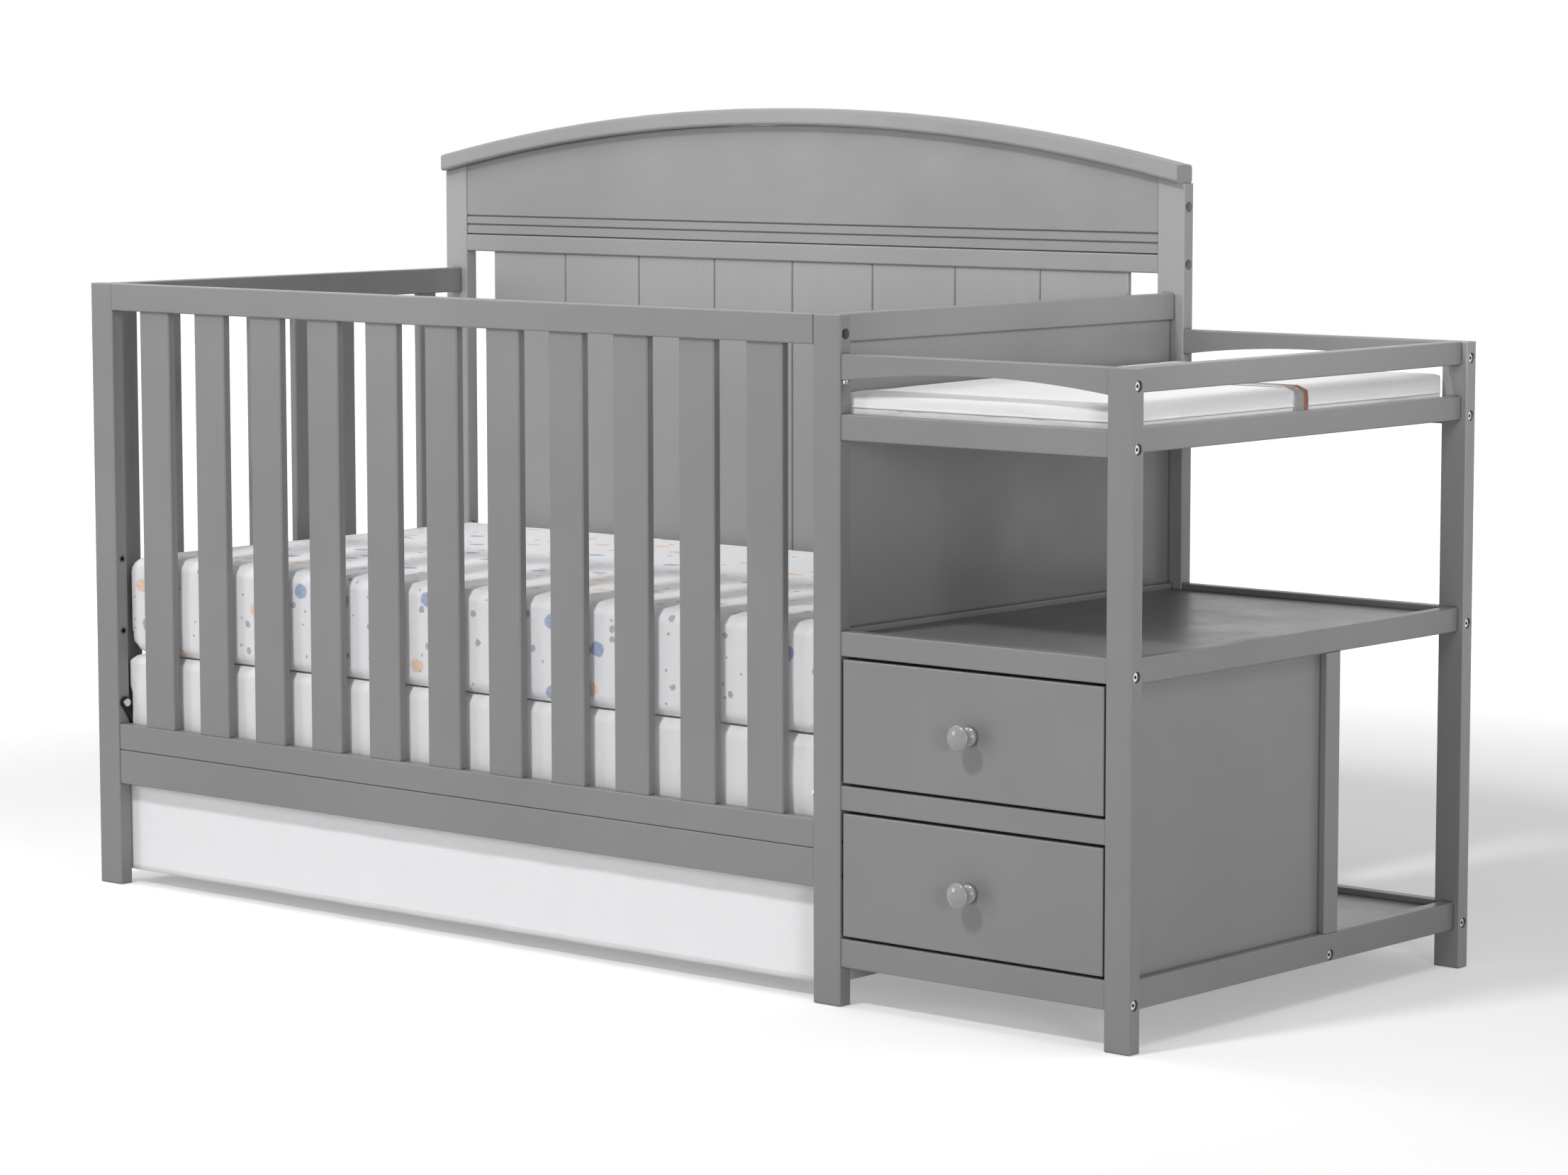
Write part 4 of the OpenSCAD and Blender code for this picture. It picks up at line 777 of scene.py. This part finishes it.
@dataclass
class StuffedBlock:
    """A mattress or pad: a rounded block that is skinned, blown up and creased."""

    name: str
    node: str
    slot: str
    corner: float
    edge: float
    voxel: float
    inset: float
    fill: float
    stuffing: Stuffing
    crease: float = 0.0006
    side_pull: float = 0.0006
    slack: float = 0.003
    front_drop: float = 0.0
    end_top: Pair = (0.0, 0.0)
    end_low: Pair = (0.0, 0.0)
    reach: float = 0.0
    notch: Pair = (0.0, 0.0)

    def turned_ends(self, p: Vector, low: Vector, high: Vector) -> Vector:
        """Rounds the block's two ends from top to bottom, as stuffing does.

        Args:
            p: a place on the skin.
            low, high: the piece's lowest and highest corners.

        Returns:
            The place, drawn in to the round where it lay outside it.
        """
        left = p.x < (low.x + high.x) / 2
        above = p.z > (low.z + high.z) / 2
        wide, tall = self.end_top if above else self.end_low
        if not wide:
            return p
        centre_x = low.x + wide if left else high.x - wide
        centre_z = high.z - tall if above else low.z + tall
        u, w = (p.x - centre_x) / wide, (p.z - centre_z) / tall
        outside = math.hypot(u, w)
        if (u < 0) == left and (w > 0) == above and outside > 1:
            p.x, p.z = centre_x + u / outside * wide, centre_z + w / outside * tall
        return p

    def creases(self, low: Vector, high: Vector):
        """The moves that draw the cloth in: soft pulls down the sides, and wrinkles.

        Args:
            low, high: the piece's lowest and highest corners.

        Returns:
            A function of a vertex's place and normal.
        """
        keep = held_in(low, high + Vector((0, 0, self.slack)))
        aside = Vector((self.reach, 0, 0))
        keep_off = held_in(low + aside, high - aside)

        def shift(p: Vector, n: Vector) -> Vector:
            level = (p.z - low.z) / (high.z - low.z)
            steep = 1.0 - abs(n.z)
            gathers = noise.noise(Vector((p.x * 26, p.y * 26, p.z * 5)))
            broad = noise.noise(Vector((p.x * 7, p.y * 7, p.z * 3)) + Vector((3, 1, 5)))
            ripple = noise.noise(Vector((p.x * 60, p.y * 60, p.z * 16)))
            near_rim = math.exp(-((level - 0.12) / 0.16) ** 2)
            pull_in = steep * (self.side_pull * (0.5 + broad) * (0.4 + 0.6 * near_rim)
                               + self.crease * gathers * (0.5 + near_rim))
            p = p - n * (pull_in + self.crease * 0.35 * ripple * steep)
            if n.z > 0.5:
                wave = noise.noise(Vector((p.x * 5, p.y * 11, 1.3))) * self.crease * 0.8
                p.z += wave * (n.z - 0.5) * 2
            p.z -= self.front_drop * level * (high.y - p.y) / (high.y - low.y)
            p = self.turned_ends(p, low, high)
            from_face = min(p.y - low.y, high.y - p.y)
            if p.z - low.z < self.notch[0] and from_face < self.notch[1]:
                return keep_off(p)
            return keep(p)
        return shift

    def build(self, material: Material) -> Object:
        """Makes the block.

        Args:
            material: its cover.

        Returns:
            The finished piece, riding on the frame.
        """
        low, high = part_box(self.node)
        low.x -= self.reach
        high.x += self.reach
        start_low = low + Vector((self.inset, self.inset, 0.0))
        start_high = Vector((high.x - self.inset, high.y - self.inset,
                             high.z - self.inset / 2))
        bm = rounded_box(start_low, start_high, self.corner, self.edge)
        piece = to_object(bm, self.name, material)
        remeshed(piece, self.voxel)
        self.stuffing.fill(piece)
        pull(piece, self.creases(low, high))
        mesh = piece.data
        for face in mesh.polygons:
            face.use_smooth = True
        unfold(piece, low, high)
        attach(piece, "frame")
        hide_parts(self.node)
        log.info("%s: %d faces", self.name, len(mesh.polygons))
        return piece


def unfold(piece: Object, low: Vector, high: Vector) -> None:
    """Gives a block a UV map in metres: the top as it lies, the sides folded out.

    Args:
        piece: the block.
        low, high: its lowest and highest corners.
    """
    mesh = piece.data
    spread = mesh.uv_layers.new(name="unfolded").data
    for face in mesh.polygons:
        n = face.normal
        for loop in face.loop_indices:
            p = mesh.vertices[mesh.loops[loop].vertex_index].co
            u, v, drop = p.x, p.y, high.z - p.z
            if abs(n.z) < 0.7 and abs(n.y) >= abs(n.x):
                v = low.y - drop if n.y < 0 else high.y + drop
            elif abs(n.z) < 0.7:
                u = low.x - drop if n.x < 0 else high.x + drop
            spread[loop].uv = (u, v)


def outline_at(piece: Object, height: float) -> list[Vector]:
    """The closed line in which a level plane cuts a piece, in order.

    Args:
        piece: the piece.
        height: the plane's height.

    Returns:
        The points of the longest line.
    """
    bm = bmesh.new()
    bm.from_mesh(piece.data)
    edges = {e for e in sliced(bm, (0, 0, height), (0, 0, 1))
             if isinstance(e, bmesh.types.BMEdge)}
    best: list[Vector] = []
    while edges:
        first, last = edges.pop().verts
        line = [first.co.copy(), last.co.copy()]
        while True:
            ahead = [e for e in last.link_edges if e in edges]
            if not ahead:
                break
            edges.discard(ahead[0])
            last = ahead[0].other_vert(last)
            if last is first:
                break
            line.append(last.co.copy())
        if len(line) > len(best):
            best = line
    bm.free()
    return best


def evened(line: list[Vector], step: float) -> list[Vector]:
    """A closed line resampled to even steps and smoothed a little.

    Args:
        line: its points in order.
        step: the distance between the new points.

    Returns:
        The new points.
    """
    closed = line + [line[0]]
    lengths = [0.0]
    for a, b in zip(closed, closed[1:]):
        lengths.append(lengths[-1] + (b - a).length)
    count = max(8, int(lengths[-1] / step))
    points, k = [], 0
    for i in range(count):
        target = lengths[-1] * i / count
        while lengths[k + 1] < target:
            k += 1
        share = (target - lengths[k]) / max(1e-9, lengths[k + 1] - lengths[k])
        points.append(closed[k].lerp(closed[k + 1], share))
    return [(points[i - 1] + 2 * points[i] + points[(i + 1) % count]) / 4
            for i in range(count)]


@dataclass
class Skirt:
    """The bed skirt: three hanging drops, the front one with a stitched hem; its flat deck is a
    piece of the model.
    """

    cloth: float = 0.0010
    hem: float = 0.006
    folds: int = 9
    cell: float = 0.008
    stitch: float = 0.0032
    stitch_size: Pair = (0.0004, 0.0005)
    notch: Pair = (0.0150, 0.0265)
    front_room: float = 0.0016
    front_gap: float = 0.0005
    side_room: float = 0.001
    side_in: float = 0.002
    side_gaps: Pair = (0.040, 0.004)

    def drop(self, name: str, start: Vector, end: Vector, top: float, hem_z: float,
             room: float, material: Material,
             notched: bool = False) -> Object:
        """One hanging drop between two upper corners.

        Args:
            name: the piece's name.
            start, end: its two upper corners, on its middle plane.
            top, hem_z: heights of its upper edge and its hem.
            room: how far it may leave its plane.
            material: its cloth.
            notched: whether its upper ends are cut out round the brackets.

        Returns:
            The new piece.
        """
        along = (end - start).normalized()
        out = Vector((along.y, -along.x, 0.0))
        length = (end - start).length
        drop = top - hem_z
        bm = bmesh.new()
        bmesh.ops.create_grid(bm, x_segments=max(24, int(length / self.cell)),
                              y_segments=max(12, int(drop / self.cell)), size=0.5)
        for v in bm.verts:
            u, w = v.co.x + 0.5, v.co.y + 0.5
            hang = 1.0 - w
            fold = math.sin(math.tau * (self.folds * u + 0.35 * noise.noise(
                Vector((u * 6, hang, 0.0)))))
            swell = noise.noise(Vector((u * length * 5, hang * 1.2, 4.0)))
            off = room * (0.25 + 0.75 * hang) * (0.45 * fold + 0.55 * swell)
            off = max(-room, min(room, off))
            v.co = start + along * (u * length) + out * off
            v.co.z = hem_z + w * drop
        if notched:
            left, right = start.x + self.notch[0], end.x - self.notch[0]
            ceiling = top - self.notch[1]
            for place, way in (((left, 0, 0), (1, 0, 0)), ((right, 0, 0), (1, 0, 0)),
                               ((0, 0, ceiling), (0, 0, 1))):
                sliced(bm, place, way)
            centres = [(face, face.calc_center_median()) for face in bm.faces]
            gone = [face for face, c in centres if c.z > ceiling and not left < c.x < right]
            bmesh.ops.delete(bm, geom=gone, context="FACES")
        bmesh.ops.recalc_face_normals(bm, faces=bm.faces)
        piece = to_object(bm, name, material)
        thick = piece.modifiers.new("cloth", "SOLIDIFY")
        thick.thickness = self.cloth
        thick.offset = 0.0
        return piece

    def hem_line(self, name: str, drop: Object, height: float,
                 material: Material) -> Object:
        """The row of stitches over a drop's hem.

        Args:
            name: the piece's name.
            drop: the drop.
            height: the row's height.
            material: the thread.

        Returns:
            The new piece.
        """
        tree = skin_of(drop)
        xs = [v.co.x for v in drop.data.vertices]
        low, high = min(xs) + 0.003, max(xs) - 0.003
        y_out = min(v.co.y for v in drop.data.vertices) - 0.02
        bm = bmesh.new()
        for i in range(int((high - low) / self.stitch)):
            x = low + (i + 0.5) * self.stitch
            hit = tree.ray_cast(Vector((x, y_out, height)), Vector((0, 1, 0)))[0]
            if hit is None:
                continue
            made = bmesh.ops.create_cube(bm, size=1.0)["verts"]
            bmesh.ops.scale(bm, vec=(self.stitch * 0.62, *self.stitch_size), verts=made)
            bmesh.ops.translate(bm, vec=hit - Vector((0, self.cloth / 2, 0)), verts=made)
        return to_object(bm, name, material, smooth=False)

    def build(self, material: Material, thread: Material) -> None:
        """Makes the drops and their stitches.

        Args:
            material: the skirt's cloth.
            thread: the thread of its hem.
        """
        low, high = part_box("skirt_drops")
        front_y = low.y + self.front_room + self.cloth / 2
        near_y, far_y = low.y + self.side_gaps[0], high.y - self.side_gaps[1]
        left_x, right_x = low.x + self.side_in, high.x - self.side_in
        plans = (
            ("skirt_front", (low.x + self.front_gap, front_y),
             (high.x - self.front_gap, front_y)),
            ("skirt_left", (left_x, near_y), (left_x, far_y)),
            ("skirt_right", (right_x, far_y), (right_x, near_y)),
        )
        for name, first, last in plans:
            start, end = Vector((*first, 0)), Vector((*last, 0))
            front = name == "skirt_front"
            piece = self.drop(name, start, end, high.z, low.z,
                              self.front_room if front else self.side_room, material,
                              notched=front)
            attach(piece, "frame")
            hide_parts("skirt_drops")
            if front:
                row = self.hem_line("skirt_hem_stitches", piece, low.z + self.hem, thread)
                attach(row, "frame")
            log.info("%s: %.3f m long", name, (end - start).length)


@dataclass
class PadStrap:
    """The woven strap that lies across the changing pad and ends on the board."""

    width: float = 0.031
    thickness: float = 0.0014
    steps: int = 90
    lanes: int = 7
    lift: float = 0.0004
    play: float = 0.0005
    over_board: float = 0.0003
    core_height: float = 0.004
    ray: float = 0.6

    def build(self, pad: Object, board_top: float,
              material: Material) -> None:
        """Lays the strap over the finished pad.

        Args:
            pad: the pad.
            board_top: height of the board under it.
            material: the webbing.
        """
        low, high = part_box("pad_strap")
        tree = skin_of(pad)
        mid = (low + high) / 2
        turn = [math.radians(-90 + 180 * i / self.steps) for i in range(self.steps + 1)]
        reach = (high.x - low.x) / 2 - self.thickness - self.play
        ground = board_top + self.over_board
        core_z = board_top + self.core_height
        lanes = self.lanes
        rows: list[list[Vector]] = []
        for a in turn:
            way = Vector((math.sin(a), 0.0, math.cos(a)))
            row = []
            for k in range(lanes):
                y = mid.y + self.width * (k / (lanes - 1) - 0.5)
                core = Vector((mid.x, y, core_z))
                hit, normal, _, _ = tree.ray_cast(core + way * self.ray, -way)
                if hit is None:
                    hit, normal = core + way * reach, way
                place = hit + normal * self.lift
                place.x = min(max(place.x, mid.x - reach), mid.x + reach)
                place.z = max(place.z, ground)
                row.append(place)
            level = sum(p.z for p in row) / lanes
            for p in row:
                p.z = max(p.z, level)
            rows.append(row)
        rows.insert(0, [Vector((mid.x - reach, p.y, ground)) for p in rows[0]])
        rows.append([Vector((mid.x + reach, p.y, ground)) for p in rows[-1]])
        bm = bmesh.new()
        grid = [[bm.verts.new(p) for p in row] for row in rows]
        uv = bm.loops.layers.uv.new("strap")
        run = [0.0]
        for a, b in zip(rows, rows[1:]):
            run.append(run[-1] + (b[lanes // 2] - a[lanes // 2]).length)
        for i in range(len(rows) - 1):
            for k in range(lanes - 1):
                face = bm.faces.new((grid[i][k], grid[i + 1][k], grid[i + 1][k + 1],
                                     grid[i][k + 1]))
                spots = ((run[i], k), (run[i + 1], k), (run[i + 1], k + 1), (run[i], k + 1))
                for loop, (u, v) in zip(face.loops, spots):
                    loop[uv].uv = (u / self.width, v / (lanes - 1))
        bmesh.ops.recalc_face_normals(bm, faces=bm.faces)
        piece = to_object(bm, "pad_belt", material)
        thick = piece.modifiers.new("webbing", "SOLIDIFY")
        thick.thickness = self.thickness
        thick.offset = 1.0
        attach(piece, "frame")
        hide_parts("pad_strap")
        log.info("pad_belt: %.3f m long", run[-1])


@dataclass
class Bedding:
    """Both mattresses, the skirt, the changing pad with its piping, and the strap."""

    mattress: StuffedBlock = field(default_factory=lambda: StuffedBlock(
        "sheeted_mattress", "mattress", "sheet", corner=0.022, edge=0.011, voxel=0.010,
        inset=-0.002, fill=0.9, stuffing=Stuffing(pressure=3.0, cap=0.004),
        crease=0.0010, end_top=(0.036, 0.052), end_low=(0.048, 0.070)))
    foundation: StuffedBlock = field(default_factory=lambda: StuffedBlock(
        "foundation_block", "foundation_mattress", "foundation_cover", corner=0.008,
        edge=0.010, voxel=0.010, inset=-0.002, fill=0.95,
        stuffing=Stuffing(pressure=2.0, cap=0.004), slack=0.0, end_top=(0.030, 0.024),
        reach=0.0134, notch=(0.066, 0.040)))
    pad: StuffedBlock = field(default_factory=lambda: StuffedBlock(
        "padded_top", "changing_pad", "pad_cover", corner=0.004, edge=0.004,
        voxel=0.0048, inset=-0.001, fill=0.7,
        stuffing=Stuffing(pressure=2.0, cap=0.0025), slack=0.0015, front_drop=0.007))
    skirt: Skirt = field(default_factory=Skirt)
    strap: PadStrap = field(default_factory=PadStrap)
    piping_r: float = 0.0016
    piping_share: float = 0.42
    piping_step: float = 0.008

    def build(self) -> None:
        """Makes every soft piece."""
        sheet = ClothFinish("printed_sheet", (0.935, 0.93, 0.94), Motif.DABS).make()
        ticking = ClothFinish("foundation_ticking", (0.945, 0.94, 0.947),
                              crinkle=0.0007).make()
        skirt_cloth = ClothFinish("skirt_cotton", (0.945, 0.942, 0.95), thread=0.0007,
                                  crinkle=0.0005).make()
        cover = ClothFinish("pad_cover_cloth", (0.94, 0.937, 0.945), thread=0.0006,
                            crinkle=0.0009).make()
        thread = ClothFinish("hem_thread", (0.80, 0.80, 0.81), thread=0.0004,
                             crinkle=0.0002).make()
        self.mattress.build(sheet)
        self.foundation.build(ticking)
        pad = self.pad.build(cover)
        low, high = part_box("changing_pad")
        seam_z = low.z + self.piping_share * (high.z - low.z)
        line = evened(outline_at(pad, seam_z), self.piping_step)
        piping = tube("pad_piping", line, self.piping_r, cover)
        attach(piping, "frame")
        board_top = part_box("changing_board")[1].z
        self.strap.build(pad, board_top, WebbingFinish().make())
        self.skirt.build(skirt_cloth, thread)
        wear(bpy.data.objects["skirt_deck"].data, skirt_cloth)


# ------------------ studio


@dataclass(frozen=True)
class Lamp:
    """One soft lamp that looks at the object."""

    name: str
    place: Triple
    target: Triple
    size: float
    power: float

    def hang(self) -> None:
        """Adds the lamp to the scene."""
        light = bpy.data.lights.new(self.name, "AREA")
        light.shape = "DISK"
        light.size = self.size
        light.energy = self.power
        holder = linked(self.name, light)
        holder.location = self.place
        holder.visible_camera = False
        look = Vector(self.target) - Vector(self.place)
        holder.rotation_euler = look.to_track_quat("-Z", "Y").to_euler()


@dataclass
class Studio:
    """Pale floor, white surround, soft lamps and the camera at the photograph's angle."""

    ambient: float = 0.20
    floor_tone: Triple = (0.90, 0.90, 0.90)
    floor_glow: float = 0.32
    floor_fade: Pair = (1.4, 3.6)
    floor_radius: float = 14.0
    floor_z: float = -0.0005
    camera_place: Triple = (4.12753, -4.65633, 1.14839)
    heading: float = 41.0197
    pitch: float = 6.3039
    roll: float = -0.0753
    lens: float = 106.0644
    lamps: tuple[Lamp, ...] = (
        Lamp("top_front", (0.15, -3.5, 4.2), (0.1, -0.1, 0.5), 0.6, 112.0),
        Lamp("left_low", (-3.0, -3.6, 1.5), (-0.1, 0.0, 0.6), 1.2, 30.0),
        Lamp("right_low", (4.9, -2.8, 1.1), (0.4, 0.0, 0.5), 1.2, 68.0),
        Lamp("right_near", (1.3, 0.0, 1.25), (0.9, 0.0, 0.75), 0.5, 3.5),
        Lamp("overhead", (-1.0, -0.5, 2.3), (-0.5, 0.1, 0.5), 1.0, 17.0),
    )

    def surround(self) -> None:
        """A white world that lights the object at a plain level."""
        world = bpy.data.worlds.new("studio_world")
        bpy.context.scene.world = world
        world.use_nodes = True
        graph = Graph(world.node_tree)
        light = graph.tree.nodes["Background"]
        light.inputs["Color"].default_value = WHITE
        light.inputs["Strength"].default_value = self.ambient
        white = graph.put("ShaderNodeBackground", ("Color", WHITE), ("Strength", 1.0))
        mix = graph.put("ShaderNodeMixShader", (0, graph.seen_share()),
                        (1, light.outputs[0]), (2, white.outputs[0]))
        graph.feed(graph.tree.nodes["World Output"].inputs["Surface"], mix.outputs[0])

    def floor(self) -> None:
        """A wide pale floor that keeps the object's shadow."""
        recipe = Recipe("studio_floor")
        recipe.finish(tone(*self.floor_tone), 0.9, Specular_IOR_Level=0.1)
        reach = recipe.put("ShaderNodeVectorMath", (0, recipe.where()),
                           operation="LENGTH").outputs["Value"]
        lift = recipe.span(reach, *self.floor_fade, self.floor_glow, 1.0, soft=True)
        glow = recipe.put("ShaderNodeEmission", ("Color", WHITE),
                          ("Strength", recipe.sum("MULTIPLY", recipe.seen_share(), lift)))
        both = recipe.put("ShaderNodeAddShader", (0, recipe.shader.outputs[0]),
                          (1, glow.outputs[0]))
        recipe.feed(recipe.tree.nodes["Material Output"].inputs["Surface"], both.outputs[0])
        bm = bmesh.new()
        bmesh.ops.create_circle(bm, cap_ends=True, cap_tris=False, segments=96,
                                radius=self.floor_radius)
        bmesh.ops.translate(bm, vec=(0, 0, self.floor_z), verts=bm.verts)
        to_object(bm, "studio_ground", recipe.material, smooth=False)

    def camera(self) -> None:
        """The camera without a shift that comes nearest to the photograph's own."""
        a, p, ro = (math.radians(v) for v in (self.heading, self.pitch, self.roll))
        ahead = Vector((-math.sin(a) * math.cos(p), math.cos(a) * math.cos(p), -math.sin(p)))
        level = Vector((math.cos(a), math.sin(a), 0.0))
        above = level.cross(ahead)
        right = level * math.cos(ro) + above * math.sin(ro)
        up = above * math.cos(ro) - level * math.sin(ro)
        lens = bpy.data.cameras.new("photo_camera")
        lens.sensor_width = 36.0
        lens.lens = self.lens
        lens.clip_end = 100.0
        holder = linked("photo_camera", lens)
        turn = Matrix((right, up, -ahead)).transposed().to_4x4()
        holder.matrix_world = Matrix.Translation(self.camera_place) @ turn
        bpy.context.scene.camera = holder

    def build(self) -> None:
        """Sets the whole studio up."""
        bpy.context.scene.view_settings.view_transform = "Standard"
        self.surround()
        self.floor()
        for lamp in self.lamps:
            lamp.hang()
        self.camera()


# ------------------ main


def main() -> None:
    """Builds the dressed object and its studio."""
    logging.basicConfig(level=logging.INFO, format="%(name)s: %(message)s")
    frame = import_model()
    Studio().build()
    Joinery().dress(frame["nodes"])
    PanHeadScrew().build(bpy.data.materials["bright_steel"])
    Bedding().build()
    bpy.context.view_layer.update()


if __name__ == "__main__":
    main()
